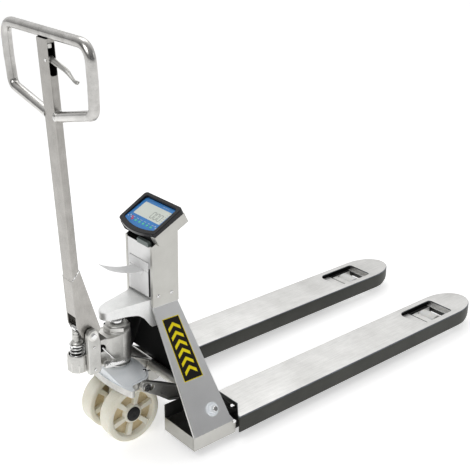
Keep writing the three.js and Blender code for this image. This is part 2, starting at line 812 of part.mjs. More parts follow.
const PISTON_TOP = 395.2;
const PISTON_BOTTOM = 249.6; // long enough to stay in the pump when the forks are fully raised
function pumpBody() {
  const body = turned(
    [
      [0, BASE.hubTop + 6 + GAP],
      [35, BASE.hubTop + 6 + GAP],
      [PUMP_RADIUS, 258],
      [PUMP_RADIUS, 352],
      [34, 352],
      [34, 368],
      [28, 372],
      [0, 372],
    ],
    STEER_X,
    0,
    36,
  );
  const block1 = sweepZ(
    shapeOf([
      [-75, -40],
      [-60, -36],
      [-60, 36],
      [-75, 40],
      [-126, 37],
      [-165, 30],
      [-196, 30],
      [-196, -30],
      [-165, -30],
      [-126, -37],
    ]),
    262,
    352,
  );
  const cup = turned(
    [
      [0, 262],
      [27, 262],
      [29.5, 266],
      [29.5, 316],
      [0, 316],
    ],
    PLUNGER_X,
    0,
  );
  const bore = bar("z", 24, 270, 420, PLUNGER_X, 0, 28);
  const p = TILLER_PIVOT;
  const ear = sweepY(
    shapeOf([
      [p.x - 18, 262],
      [p.x + 24, 262],
      [p.x + 24, 352],
      [p.x + 17, p.z + 6],
      [p.x + 10, p.z + 15],
      [p.x, p.z + 18],
      [p.x - 10, p.z + 15],
      [p.x - 17, p.z + 6],
      [p.x - 18, p.z],
    ]),
    -46,
    -29,
  );
  const tillerRoom = block(-230, -128, -28.5, 28.5, 318, 440);
  const bodyAll = body.add(block1).add(cup).subtract(tillerRoom).add(ear).add(mirrorY(ear));
  const rodBore = bar("z", 16, PISTON_BOTTOM - 0.6, 400, STEER_X, 0, 24);
  const kingSeat = bar("z", KINGPIN_RADIUS + 0.4, 230, KINGPIN_TOP + 0.5, STEER_X, 0, 24);
  const pinHole = bar("y", 7.4, -60, 60, p.x, p.z, 20);
  const valveHole = bar("y", 10, -60, -24, -146, 327, 20);
  return bodyAll.subtract(bore).subtract(rodBore).subtract(kingSeat).subtract(pinHole).subtract(valveHole);
}
add("pump_body", pumpBody(), CAST);

add(
  "piston_rod",
  turned(
    [
      [0, PISTON_BOTTOM],
      [15.5, PISTON_BOTTOM],
      [15.5, 376],
      [21, 377],
      [21, 386],
      [15.5, 388],
      [15.5, PISTON_TOP],
      [0, PISTON_TOP],
    ],
    STEER_X,
    0,
    24,
  ),
  CHROME,
);

// Yoke between the wheels, with the king pin that passes up through the base plate.
function wheelYoke() {
  const yoke = sweepY(
    shapeOf([
      [STEER_X - 22, 70],
      [STEER_X - 14, 62],
      [STEER_X + 14, 62],
      [STEER_X + 22, 70],
      [STEER_X + 24, 160],
      [STEER_X + 34, BASE.bottom - 1],
      [STEER_X - 34, BASE.bottom - 1],
      [STEER_X - 24, 160],
    ]),
    -21,
    21,
  );
  const pin = bar("z", KINGPIN_RADIUS, 150, KINGPIN_TOP, STEER_X, 0, 28);
  return yoke.add(pin).subtract(bar("y", AXLE_RADIUS + GAP, -60, 60, STEER_X, WHEEL.radius, 24));
}
add("wheel_yoke", wheelYoke(), CAST);
add("wheel_axle", bar("y", AXLE_RADIUS, -68, 68, STEER_X, WHEEL.radius, 24), CHROME);

// Nylon wheel: a rim, a thin web and a hub, hollowed on both faces.
function steeringWheel() {
  const inner = -WHEEL.outer + WHEEL.width;
  const outer = -WHEEL.outer;
  return turnedY(
    [
      [AXLE_RADIUS + 0.4, outer + 4],
      [24, outer + 4],
      [26, outer + 17],
      [66, outer + 17],
      [72, outer + 1],
      [87, outer],
      [WHEEL.radius, outer + 3],
      [WHEEL.radius, inner - 3],
      [87, inner],
      [72, inner - 1],
      [66, inner - 17],
      [26, inner - 17],
      [24, inner - 1],
      [AXLE_RADIUS + 0.4, inner - 1],
      [AXLE_RADIUS + 0.4, outer + 4],
    ],
    STEER_X,
    WHEEL.radius,
    40,
  );
}
addPair("steering_wheel", steeringWheel(), NYLON);
addPair(
  "hub_cap",
  turnedY(
    [
      [0, -WHEEL.outer - 1],
      [20, -WHEEL.outer - 1],
      [22, -WHEEL.outer + 1],
      [22, -WHEEL.outer + 3.6],
      [0, -WHEEL.outer + 3.6],
    ],
    STEER_X,
    WHEEL.radius,
    28,
  ),
  RUBBER,
);

// The plunger is pressed down by the tiller's roller and pushed back by its spring.
// It stands off the upright tiller's roller by some play, because the roller leads it in mid stroke.
const PLUNGER_PLAY = 1.6;
const PLUNGER_TOP = TILLER_PIVOT.z + PRESS_ROLLER.dz - PRESS_ROLLER.radius - PLUNGER_PLAY;
add(
  "plunger",
  turned(
    [
      [0, 312],
      [9, 312],
      [9, 345],
      [20.5, 345],
      [20.5, 350],
      [14, 357],
      [9.5, 359],
      [9.5, PLUNGER_TOP - 2],
      [7.5, PLUNGER_TOP],
      [0, PLUNGER_TOP],
    ],
    PLUNGER_X,
    0,
    28,
  ),
  CHROME,
);

function plungerSpring() {
  const turns = 5;
  const low = 273;
  const high = 342;
  const points = [];
  for (let i = 0; i <= turns * 10; i += 1) {
    const a = (i / 10) * 2 * Math.PI;
    const z = low + ((high - low) * i) / (turns * 10);
    points.push(new THREE.Vector3(PLUNGER_X + 17.5 * Math.cos(a), 17.5 * Math.sin(a), z));
  }
  const path = new THREE.CatmullRomCurve3(points);
  const wire = new THREE.Shape();
  wire.absarc(0, 0, 2.4, 0, 2 * Math.PI, false);
  const geometry = new THREE.ExtrudeGeometry(wire, {
    steps: turns * 14,
    extrudePath: path,
    curveSegments: 4,
    bevelEnabled: false,
  });
  return solid(geometry);
}
add("plunger_spring", plungerSpring(), STEEL);

// Release pedal at the pump's side.
const PEDAL = { x: -146, z: 278, y: -46 };
function releasePedal() {
  const lever = sweepY(
    shapeOf([
      [PEDAL.x - 10, PEDAL.z - 6],
      [PEDAL.x + 58, PEDAL.z - 12],
      [PEDAL.x + 60, PEDAL.z - 7],
      [PEDAL.x + 12, PEDAL.z + 6],
      [PEDAL.x - 8, PEDAL.z + 7],
    ]),
    PEDAL.y - 15,
    PEDAL.y - 2,
  );
  return lever.add(bar("y", 8, PEDAL.y - 17, PEDAL.y - 0.5, PEDAL.x, PEDAL.z, 20));
}
add("release_pedal", releasePedal(), CHROME);

// ---------------------------------------------------------------- tiller
// Drawn upright about the pivot, with Z along the tiller, then leaned towards the operator.

function leaned(made) {
  return made.rotate([0, -TILLER_LEAN, 0]).translate([TILLER_PIVOT.x, 0, TILLER_PIVOT.z]);
}

function tillerTube() {
  const t = TUBE;
  const x0 = -t.offset - t.along / 2;
  const x1 = -t.offset + t.along / 2;
  const half = t.across / 2;
  const hollow = block(x0 + t.wall, x1 - t.wall, -half + t.wall, half - t.wall, 40, t.top + 1);
  let tube = block(x0, x1, -half, half, 60, t.top).subtract(hollow);
  // cheeks that widen forwards to the pivot
  const cheek = shapeOf([
    [x0, 205],
    [x0, 30],
    [x0 + 6, 14],
    [x0 + 12, -4],
    [-8, -14],
    [8, -15],
    [20, -12],
    [34, -8],
    [38, 2],
    [x1 + 3, 214],
    [x1 - 1, 216],
  ]);
  const cheeks = sweepY(cheek, -half, -half + 4).add(sweepY(cheek, half - 4, half));
  const web = sweepY(
    shapeOf([
      [35, 0],
      [38, 2],
      [x1 + 3, 214],
      [x1 - 1, 216],
    ]),
    -half,
    half,
  );
  tube = tube.subtract(block(x0 + 1, x1 + 2, -half + 4, half - 4, 20, 200)).add(cheeks).add(web);
  tube = tube.add(block(x0, x0 + 3, -half, half, 62, 206));
  // slot for the control lever
  tube = tube.subtract(block(x0 + 5, x1 - 3.5, -half - 1, -half + 4, 750, 820));
  const pinHole = bar("y", 7.4, -60, 60, 0, 0, 20);
  const rollerHole = bar("y", 4.3, -60, 60, PRESS_ROLLER.dx, PRESS_ROLLER.dz, 16);
  return tube.subtract(pinHole).subtract(rollerHole.rotate([0, TILLER_LEAN, 0]));
}
add("tiller_tube", leaned(tillerTube()), STEEL);

function handleLoop() {
  const x = -TUBE.offset;
  const l = LOOP;
  const at = (y, z) => new THREE.Vector3(x, y, z);
  const path = new THREE.CurvePath();
  const half = TUBE.across / 2 - 8;
  const corner = 62;
  const lowCorner = 34;
  const slope = Math.atan2(l.low - l.root, l.lowHalf - half);
  const dy = lowCorner * Math.cos(slope);
  const dz = lowCorner * Math.sin(slope);
  const meetY = l.halfWidth;
  const meetZ = l.root + ((l.halfWidth - half) * (l.low - l.root)) / (l.lowHalf - half);
  const add2 = (curve) => path.add(curve);
  const line = (a, b) => add2(new THREE.LineCurve3(a, b));
  const bend = (a, b, c) => add2(new THREE.QuadraticBezierCurve3(a, b, c));
  line(at(-half, l.root), at(-meetY + dy, meetZ - dz));
  bend(at(-meetY + dy, meetZ - dz), at(-meetY, meetZ), at(-meetY, meetZ + lowCorner));
  line(at(-meetY, meetZ + lowCorner), at(-l.halfWidth, l.top - corner));
  bend(at(-meetY, l.top - corner), at(-meetY, l.top), at(-meetY + corner, l.top));
  line(at(-meetY + corner, l.top), at(meetY - corner, l.top));
  bend(at(meetY - corner, l.top), at(meetY, l.top), at(meetY, l.top - corner));
  line(at(meetY, l.top - corner), at(meetY, meetZ + lowCorner));
  bend(at(meetY, meetZ + lowCorner), at(meetY, meetZ), at(meetY - dy, meetZ - dz));
  line(at(meetY - dy, meetZ - dz), at(half, l.root));
  const section = new THREE.Shape();
  section.absarc(0, 0, l.rod, 0, 2 * Math.PI, false);
  const hole = new THREE.Path();
  hole.absarc(0, 0, l.rod - 2.5, 0, 2 * Math.PI, true);
  section.holes.push(hole);
  const geometry = new THREE.ExtrudeGeometry(section, {
    steps: 64,
    extrudePath: path,
    curveSegments: 6,
    bevelEnabled: false,
  });
  const room = TUBE.across / 2 + GAP;
  return solid(geometry).subtract(block(x - 40, x + 40, -room, room, l.root - 60, l.root + 60));
}
add("handle_loop", leaned(handleLoop()), STEEL);

add("tiller_pin", bar("y", 7, -52, 52, TILLER_PIVOT.x, TILLER_PIVOT.z, 20), CHROME);
function pressRoller() {
  const x = TILLER_PIVOT.x + PRESS_ROLLER.dx;
  const z = TILLER_PIVOT.z + PRESS_ROLLER.dz;
  return bar("y", PRESS_ROLLER.radius, -10, 10, x, z, 20).add(bar("y", 4, -24, 24, x, z, 16));
}
add("press_roller", pressRoller(), CHROME);

// The control lever turns on a pin along X inside the tube and sticks out of the slot.
const LEVER = { z: 782, pivotY: -13, hub: 8 };
function controlLever() {
  const x = -TUBE.offset;
  const arm = sweepX(
    shapeOf([
      [LEVER.pivotY, LEVER.z + 7.5],
      [LEVER.pivotY, LEVER.z - 7.5],
      [-40, LEVER.z - 12],
      [-92, LEVER.z - 22],
      [-112, LEVER.z - 29],
      [-138, LEVER.z - 33],
      [-139, LEVER.z - 26],
      [-110, LEVER.z - 19],
      [-90, LEVER.z - 11],
      [-40, LEVER.z + 2],
    ]),
    x - 4,
    x + 4,
  );
  return arm.add(bar("x", LEVER.hub, x - 8.5, x + 8.5, LEVER.pivotY, LEVER.z, 20));
}
add("control_lever", leaned(controlLever()), CHROME);

// ---------------------------------------------------------------- bolts on the side plates

function sideBolt() {
  const low = HEEL_BOTTOM + HEEL_LIP;
  const across = HEEL_OUTER - (COLUMN.halfWidth - COLUMN.sheet - GAP);
  const lean = Math.atan2(across, COLUMN.bottom - 2 - low);
  const height = 123.4;
  const face = HEEL_OUTER - (height - low) * Math.tan(lean);
  const head = turned(
    [
      [0, 0.5],
      [21, 0.5],
      [21, 3.5],
      [0, 3.5],
    ],
    0,
    0,
    24,
  )
    .add(bar("z", 14, 3, 16, 0, 0, 6))
    .add(bar("z", 8, 15, 22, 0, 0, 16));
  const tiltBack = (lean * 180) / Math.PI;
  return head.rotate([90 - tiltBack, 0, 0]).translate([88.6, -face, height]);
}
addPair("side_bolt", sideBolt(), CHROME);

// ---------------------------------------------------------------- whole truck

// Half-way between the rearmost point of the handle and the fork tips.
const CENTRE_X = 543.4;
truck.position.x = -CENTRE_X;

export default truck;
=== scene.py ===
"""Pallet scale: the visual model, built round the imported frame. Blender works in metres. The shapes below are
in millimetres, with X from the rear face of the fork heels, Y from the centre plane and Z from the floor."""
import math

import bmesh
import bpy
from mathutils import Matrix, Vector


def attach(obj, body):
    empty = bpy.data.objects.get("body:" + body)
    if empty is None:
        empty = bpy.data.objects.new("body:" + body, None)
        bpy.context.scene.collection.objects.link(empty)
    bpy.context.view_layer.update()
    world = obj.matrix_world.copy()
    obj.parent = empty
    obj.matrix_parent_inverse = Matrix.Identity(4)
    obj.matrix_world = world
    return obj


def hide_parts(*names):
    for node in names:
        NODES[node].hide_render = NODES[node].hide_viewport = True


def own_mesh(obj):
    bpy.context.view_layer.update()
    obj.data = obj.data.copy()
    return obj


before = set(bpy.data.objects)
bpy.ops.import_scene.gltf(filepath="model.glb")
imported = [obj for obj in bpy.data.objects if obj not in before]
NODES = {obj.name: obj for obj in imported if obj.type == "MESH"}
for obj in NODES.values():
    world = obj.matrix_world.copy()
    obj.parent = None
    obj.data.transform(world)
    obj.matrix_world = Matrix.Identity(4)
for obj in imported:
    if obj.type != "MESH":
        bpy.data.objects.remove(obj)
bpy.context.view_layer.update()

# ------------------------------------------------------------------ dimensions shared with the frame
SHIFT = 543.4  # the row frame's origin lies this far in front of the heels
TRACK = 201.5  # centre plane of a fork
STEER_X = -75.0  # axis of the pump and of the steering
WHEEL_R = 90.0
SHAFT = (116.0, 107.0)  # torsion shaft, in X and Z, as are the next ones
PIN = (-54.0, 195.0)  # linkage pins in the base plate
PIVOT = (-182.0, 380.0)  # tiller
AXLE = (1150.0, 37.0)  # load rollers
LEAN = math.radians(2.69)  # the tiller's lean towards the operator, at rest
PLUNGER_X = -210.0
TILT = math.radians(26.0)  # of the indicator
TILT_AT = (0.0, 651.0)


def place(x, y, z):
    return Vector(((x - SHIFT) / 1000.0, y / 1000.0, z / 1000.0))


def measured(co):
    """The reverse of place(): a point of a mesh in the millimetres used here."""
    return co.x * 1000.0 + SHIFT, co.y * 1000.0, co.z * 1000.0


def upright(x, y, z):
    """The reverse of leaned(): to the tiller's own upright frame, about its pivot."""
    c, s = math.cos(LEAN), math.sin(LEAN)
    x, z = x - PIVOT[0], z - PIVOT[1]
    return x * c + z * s, y, z * c - x * s


def leaned(x, y, z):
    """From the tiller's own upright frame, about its pivot, to the truck's."""
    c, s = math.cos(LEAN), math.sin(LEAN)
    return (PIVOT[0] + x * c - z * s, y, PIVOT[1] + x * s + z * c)


def tilted(x, y, z):
    """From the indicator lying flat to its tilted place."""
    c, s = math.cos(TILT), math.sin(TILT)
    return (TILT_AT[0] + x * c - z * s, y, TILT_AT[1] + x * s + z * c)


# ------------------------------------------------------------------ materials
def material(name):
    mat = bpy.data.materials.new(name)
    mat.use_nodes = True
    tree = mat.node_tree
    return mat, tree.nodes, tree.links, tree.nodes["Principled BSDF"]


def noise(nodes, links, coords, stretch, scale, detail, rough=0.6):
    mapping = nodes.new("ShaderNodeMapping")
    mapping.inputs["Scale"].default_value = stretch
    links.new(coords, mapping.inputs["Vector"])
    tex = nodes.new("ShaderNodeTexNoise")
    tex.inputs["Scale"].default_value = scale
    tex.inputs["Detail"].default_value = detail
    tex.inputs["Roughness"].default_value = rough
    links.new(mapping.outputs["Vector"], tex.inputs["Vector"])
    return tex.outputs["Fac"]


def remap(nodes, links, value, low, high, out_low, out_high):
    node = nodes.new("ShaderNodeMapRange")
    node.inputs["From Min"].default_value = low
    node.inputs["From Max"].default_value = high
    node.inputs["To Min"].default_value = out_low
    node.inputs["To Max"].default_value = out_high
    links.new(value, node.inputs["Value"])
    return node.outputs["Result"]


def mixed(nodes, links, fac, a, b):
    node = nodes.new("ShaderNodeMix")
    node.data_type = "RGBA"
    node.inputs["A"].default_value = (*a, 1.0)
    node.inputs["B"].default_value = (*b, 1.0)
    links.new(fac, node.inputs["Factor"])
    return node.outputs["Result"]


def surface(name, dark, light, rough=(0.3, 0.4), metal=1.0, cloud=9.0, grain=(1, 1, 1), grain_scale=900.0,
        bump=0.15, depth=0.0002, sheen=0.0, coat=0.0, subsurface=0.0, aniso=0.0, wear=0.0, specular=0.5):
    """Slow clouding in the colour, and a fine grain, stretched along the brushing, in gloss and relief."""
    mat, nodes, links, bsdf = material(name)
    coords = nodes.new("ShaderNodeTexCoord").outputs["Object"]
    slow = noise(nodes, links, coords, (1, 1, 1), cloud, 5.0)
    fine = noise(nodes, links, coords, grain, grain_scale, 4.0)
    blend = nodes.new("ShaderNodeMath")
    blend.operation = "MULTIPLY_ADD"
    links.new(fine, blend.inputs[0])
    blend.inputs[1].default_value = 0.55
    half = nodes.new("ShaderNodeMath")
    half.operation = "MULTIPLY"
    links.new(slow, half.inputs[0])
    half.inputs[1].default_value = 0.55
    links.new(half.outputs[0], blend.inputs[2])
    fac = remap(nodes, links, blend.outputs[0], 0.35, 0.75, 0.0, 1.0)
    colour = mixed(nodes, links, fac, dark, light)
    # Painted highlight: sharp convex edges are lightened towards a brighter copy of the light colour.
    if wear > 0.0:
        geometry = nodes.new("ShaderNodeNewGeometry")
        edge = remap(nodes, links, geometry.outputs["Pointiness"], 0.515, 0.56, 0.0, wear)
        edge_highlit = nodes.new("ShaderNodeMix")
        edge_highlit.data_type = "RGBA"
        links.new(edge, edge_highlit.inputs["Factor"])
        links.new(colour, edge_highlit.inputs["A"])
        edge_highlit.inputs["B"].default_value = (*[min(1.0, c * 1.35) for c in light], 1.0)
        colour = edge_highlit.outputs["Result"]
    links.new(colour, bsdf.inputs["Base Color"])
    links.new(remap(nodes, links, fine, 0.3, 0.7, rough[0], rough[1]), bsdf.inputs["Roughness"])
    relief = nodes.new("ShaderNodeBump")
    relief.inputs["Strength"].default_value = bump
    relief.inputs["Distance"].default_value = depth
    links.new(fine, relief.inputs["Height"])
    links.new(relief.outputs["Normal"], bsdf.inputs["Normal"])
    bsdf.inputs["Metallic"].default_value = metal
    bsdf.inputs["Specular IOR Level"].default_value = specular
    bsdf.inputs["Anisotropic"].default_value = aniso
    bsdf.inputs["Sheen Weight"].default_value = sheen
    bsdf.inputs["Coat Weight"].default_value = coat
    bsdf.inputs["Subsurface Weight"].default_value = subsurface
    if subsurface:
        bsdf.inputs["Subsurface Radius"].default_value = (0.004, 0.003, 0.002)
    return mat


ALONG_X = (0.03, 1.0, 1.0)
ALONG_Z = (1.0, 1.0, 0.03)

M, SLOT = {}, {}


def finish(key, name, slot, *look, **more):
    """One finish, its material's name, and the record's slot that it stands for."""
    M[key] = surface(name, *look, **more)
    SLOT[key] = slot


finish("satin", "satin_stainless", "stainless_sheet", (0.27, 0.265, 0.245), (0.47, 0.465, 0.44), (0.28, 0.44),
    cloud=14, bump=0.25, grain_scale=1300, wear=0.5)
finish("plate", "plate_stainless", "stainless_sheet", (0.54, 0.55, 0.56), (0.80, 0.81, 0.82), (0.30, 0.44),
    cloud=11, grain=(1.0, 1.0, 0.2), grain_scale=1100, bump=0.3, wear=0.6)
finish("panel", "panel_stainless", "stainless_sheet", (0.56, 0.56, 0.555), (0.74, 0.74, 0.735), (0.32, 0.44),
    cloud=12, bump=0.2, grain_scale=1300)
finish("tube", "tube_stainless", "stainless_sheet", (0.15, 0.143, 0.132), (0.40, 0.388, 0.368), (0.20, 0.36),
    cloud=26, grain=ALONG_Z, grain_scale=900, bump=0.3, wear=0.6)
finish("bar", "bar_stainless", "stainless_sheet", (0.30, 0.29, 0.275), (0.70, 0.69, 0.67), (0.16, 0.30),
    cloud=22, grain_scale=900, bump=0.25, wear=0.4)
finish("fork_top", "fork_top_stainless", "stainless_sheet", (0.60, 0.595, 0.575), (0.92, 0.915, 0.90),
    (0.30, 0.5), cloud=7, grain=ALONG_X, grain_scale=620, bump=0.4)
finish("edge", "fork_edge", "stainless_sheet", (0.10, 0.115, 0.13), (0.22, 0.25, 0.29), (0.25, 0.35),
    cloud=12, grain=ALONG_X, grain_scale=600, bump=0.1)
finish("skirt", "fork_skirt", "stainless_sheet", (0.026, 0.027, 0.022), (0.055, 0.056, 0.047), (0.4, 0.55),
    metal=0.0, cloud=10, grain=ALONG_X, grain_scale=500, bump=0.3, specular=0.3)
finish("cast", "cast_stainless", "cast_metal", (0.40, 0.395, 0.375), (0.68, 0.675, 0.65), (0.34, 0.52),
    cloud=34, grain_scale=420, bump=0.6, depth=0.0004, wear=0.6)
# Painted highlight: a lighter copy of the cast finish, for the crosshead arm's brightly lit top.
finish("arm_top", "lit_cast_arm", "cast_metal", (0.74, 0.745, 0.735), (0.96, 0.965, 0.955), (0.34, 0.48),
    metal=0.6, cloud=25, grain_scale=500, bump=0.4, depth=0.0003, wear=0.3)
# Pale bluish white; on the base plate's top and dome it is a painted reflection.
finish("pale", "pale_plate", "pale_plate", (0.84, 0.89, 0.93), (0.96, 0.98, 1.0), (0.3, 0.44), metal=0.0,
    cloud=30, grain_scale=600, bump=0.25)
finish("bright", "bright_steel", "bright_steel", (0.62, 0.62, 0.615), (0.86, 0.86, 0.855), (0.10, 0.22),
    cloud=40, grain_scale=900, bump=0.1)
finish("dark", "dark_steel", "dark_steel", (0.030, 0.030, 0.029), (0.075, 0.075, 0.072), (0.4, 0.6),
    metal=0.5, cloud=20, grain_scale=500, bump=0.3, specular=0.3)
# Painted shade: this near-black stands in for the shade in hollows, gaps and inside the chassis.
finish("black", "painted_shade_black", "black_steel", (0.003, 0.003, 0.003), (0.008, 0.008, 0.009), (0.5, 0.7),
    metal=0.0, cloud=12, grain_scale=700, bump=0.2, specular=0.1)
finish("nylon", "cream_nylon", "nylon", (0.78, 0.74, 0.60), (0.92, 0.90, 0.80), (0.35, 0.5), metal=0.0,
    cloud=18, grain_scale=350, bump=0.15, subsurface=0.15)
finish("white_nylon", "white_nylon", "nylon", (0.70, 0.70, 0.68), (0.86, 0.86, 0.84), (0.35, 0.5), metal=0.0,
    cloud=22, grain_scale=350, bump=0.15, subsurface=0.1)
# Painted shade: the tan of the wheels' pocket floors.
finish("tan", "nylon_pocket_shade", "nylon", (0.55, 0.42, 0.22), (0.76, 0.66, 0.44), (0.45, 0.6), metal=0.0,
    cloud=30, grain_scale=400, bump=0.2, subsurface=0.1)
finish("rubber", "black_rubber", "black_rubber", (0.006, 0.006, 0.006), (0.018, 0.018, 0.018), (0.5, 0.7),
    metal=0.0, cloud=30, grain_scale=800, bump=0.3, specular=0.3)
finish("bezel", "black_moulding", "black_plastic", (0.005, 0.005, 0.006), (0.014, 0.014, 0.016), (0.18, 0.3),
    metal=0.0, cloud=20, grain_scale=1600, bump=0.2, specular=0.3)
finish("film", "blue_film", "blue_film", (0.022, 0.17, 0.50), (0.05, 0.28, 0.68), (0.25, 0.36), metal=0.0,
    cloud=16, grain_scale=2200, bump=0.1, specular=0.3)
finish("lcd", "lcd_glass", "display", (0.66, 0.71, 0.64), (0.80, 0.84, 0.78), (0.1, 0.16), metal=0.0, cloud=6,
    grain_scale=1500, bump=0.03, specular=0.3)
finish("digit", "lcd_segment", "display", (0.24, 0.27, 0.25), (0.34, 0.37, 0.34), (0.3, 0.4), metal=0.0,
    bump=0.05)
finish("green", "green_key", "green_key", (0.04, 0.50, 0.36), (0.12, 0.72, 0.56), (0.2, 0.3), metal=0.0,
    coat=0.2)
finish("red", "red_key", "red_key", (0.50, 0.02, 0.08), (0.72, 0.06, 0.16), (0.2, 0.3), metal=0.0, coat=0.2)
finish("print", "pale_print", "blue_film", (0.50, 0.54, 0.62), (0.70, 0.74, 0.8), (0.3, 0.4), metal=0.0,
    bump=0.05)
finish("white", "white_moulding", "white_plastic", (0.74, 0.74, 0.735), (0.86, 0.86, 0.855), (0.35, 0.48),
    metal=0.0, cloud=15, grain_scale=1400, bump=0.2)
finish("paper", "thermal_paper", "paper", (0.76, 0.76, 0.76), (0.86, 0.86, 0.86), (0.6, 0.75), metal=0.0,
    cloud=12, grain_scale=2200, bump=0.15, sheen=0.1)
finish("bracket", "painted_bracket", "dark_steel", (0.10, 0.125, 0.12), (0.20, 0.235, 0.225), (0.35, 0.5),
    metal=0.2, cloud=20, grain_scale=700, bump=0.2)
finish("label", "label_black", "black_plastic", (0.006, 0.005, 0.004), (0.015, 0.012, 0.010), (0.4, 0.5),
    metal=0.0, cloud=12, grain_scale=1500, bump=0.1, specular=0.2)
finish("yellow", "label_yellow", "black_plastic", (0.84, 0.68, 0.0), (0.95, 0.80, 0.01), (0.35, 0.45),
    metal=0.0, cloud=15, grain_scale=1500, bump=0.1, specular=0.3)


# ------------------------------------------------------------------ mesh helpers
def shade(mesh, degrees=32.0):
    for polygon in mesh.polygons:
        polygon.use_smooth = True
    mesh.set_sharp_from_angle(angle=math.radians(degrees))


def raw(name, verts, faces, through=None):
    """A mesh object from points in millimetres."""
    mesh = bpy.data.meshes.new(name)
    points = [through(*v) if through else v for v in verts]
    mesh.from_pydata([place(*v) for v in points], [], faces)
    bm = bmesh.new()
    bm.from_mesh(mesh)
    bmesh.ops.remove_doubles(bm, verts=bm.verts, dist=1e-7)
    bmesh.ops.recalc_face_normals(bm, faces=bm.faces)
    bm.to_mesh(mesh)
    bm.free()
    obj = bpy.data.objects.new(name, mesh)
    bpy.context.scene.collection.objects.link(obj)
    return obj


ORDER = {"xy": lambda a, b, c: (a, b, c), "xz": lambda a, b, c: (a, c, b), "yz": lambda a, b, c: (c, a, b),}


def prism(name, outline, plane, low, high, through=None):
    """An outline in one plane, carried along the third axis."""
    n = len(outline)
    at = ORDER[plane]
    verts = [at(a, b, low) for a, b in outline] + [at(a, b, high) for a, b in outline]
    faces = [list(range(n))[::-1], list(range(n, 2 * n))]
    faces += [[i, (i + 1) % n, n + (i + 1) % n, n + i] for i in range(n)]
    return raw(name, verts, faces, through)


def box(name, x0, x1, y0, y1, z0, z1, through=None):
    return prism(name, [(x0, y0), (x1, y0), (x1, y1), (x0, y1)], "xy", z0, z1, through)


def fillet(corners, steps=6):
    """Rounds a closed outline: each corner is (a, b) or (a, b, radius)."""
    out = []
    n = len(corners)
    for i, corner in enumerate(corners):
        here = Vector(corner[:2])
        radius = corner[2] if len(corner) > 2 else 0.0
        if radius <= 0.0:
            out.append(tuple(here))
            continue
        before = (Vector(corners[i - 1][:2]) - here).normalized()
        after = (Vector(corners[(i + 1) % n][:2]) - here).normalized()
        half = before.angle(after) / 2.0
        reach = radius / math.tan(half)
        start, end = here + before * reach, here + after * reach
        centre = here + (before + after).normalized() * (radius / math.sin(half))
        a, b = start - centre, end - centre
        sweep = a.angle_signed(b)
        for k in range(steps + 1):
            t = -sweep * k / steps
            out.append((centre.x + a.x * math.cos(t) - a.y * math.sin(t),
                centre.y + a.x * math.sin(t) + a.y * math.cos(t)))
    return out


def circle(cx, cy, radius, steps=32, start=0.0, sweep=360.0):
    full = sweep >= 360.0
    count = steps if full else steps + 1
    return [(cx + radius * math.cos(math.radians(start + sweep * k / steps)),
        cy + radius * math.sin(math.radians(start + sweep * k / steps))) for k in range(count)]


def lathe(name, profile, axis, centre, steps=72, through=None):
    """Turns (radius, height) pairs about a line along axis. Its ends meet the axis, or else each other."""
    ring = [(r, h) for r, h in profile]
    closed = ring[0][0] > 0.0
    verts, rows = [], []
    for r, h in ring:
        row = []
        for k in range(steps if r > 0.0 else 1):
            t = 2.0 * math.pi * k / steps
            a, b = r * math.cos(t), r * math.sin(t)
            row.append(len(verts))
            verts.append({"z": (centre[0] + a, centre[1] + b, h), "y": (centre[0] + a, h, centre[1] + b),
                "x": (h, centre[0] + a, centre[1] + b),}[axis])
        rows.append(row)
    faces = []
    pairs = list(zip(rows, rows[1:])) + ([(rows[-1], rows[0])] if closed else [])
    for low, high in pairs:
        for k in range(steps):
            j = (k + 1) % steps
            quad = [low[k % len(low)], low[j % len(low)], high[j % len(high)], high[k % len(high)]]
            face = list(dict.fromkeys(quad))
            if len(face) > 2:
                faces.append(face)
    return raw(name, verts, faces, through)


def rod(name, radius, low, high, axis, centre, steps=40, through=None):
    return lathe(name, [(0, low), (radius, low), (radius, high), (0, high)], axis, centre, steps, through)


def tube(name, path, radius, sides=20, closed=False, through=None, squash=1.0):
    """A round bar along points. radius is a number, or one per point."""
    pts = [Vector(p) for p in path]
    n = len(pts)
    radii = radius if isinstance(radius, (list, tuple)) else [radius] * n
    tangents = []
    for i in range(n):
        a = pts[(i - 1) % n] if closed or i else pts[0]
        b = pts[(i + 1) % n] if closed or i < n - 1 else pts[-1]
        tangents.append((b - a).normalized())
    side = tangents[0].orthogonal().normalized()
    verts = []
    for i, p in enumerate(pts):
        side = (side - tangents[i] * side.dot(tangents[i])).normalized()
        other = tangents[i].cross(side)
        for k in range(sides):
            t = 2.0 * math.pi * k / sides
            v = p + side * (radii[i] * math.cos(t)) + other * (radii[i] * squash * math.sin(t))
            verts.append(tuple(v))
    faces = []
    for i in range(n if closed else n - 1):
        j = (i + 1) % n
        for k in range(sides):
            m = (k + 1) % sides
            faces.append([i * sides + k, i * sides + m, j * sides + m, j * sides + k])
    if not closed:
        faces.append(list(range(sides))[::-1])
        faces.append([(n - 1) * sides + k for k in range(sides)])
    return raw(name, verts, faces, through)


def merged(name, *objects):
    """Several closed shells as one object."""
    bm = bmesh.new()
    for o in objects:
        bm.from_mesh(baked(o))
    mesh = bpy.data.meshes.new(name)
    bm.to_mesh(mesh)
    bm.free()
    for o in objects:
        bpy.data.objects.remove(o)
    obj = bpy.data.objects.new(name, mesh)
    bpy.context.scene.collection.objects.link(obj)
    return obj


def baked(o):
    """The object's mesh with its modifiers applied."""
    bpy.context.view_layer.update()
    graph = bpy.context.evaluated_depsgraph_get()
    return bpy.data.meshes.new_from_object(o.evaluated_get(graph), depsgraph=graph)


def boolean(obj, operation, *others):
    for other in others:
        mod = obj.modifiers.new("cut", "BOOLEAN")
        mod.operation = operation
        mod.solver = "EXACT"
        mod.object = other
    obj.data = baked(obj)
    obj.modifiers.clear()
    for other in others:
        bpy.data.objects.remove(other)
    return obj


def cut(obj, *others):
    return boolean(obj, "DIFFERENCE", *others)


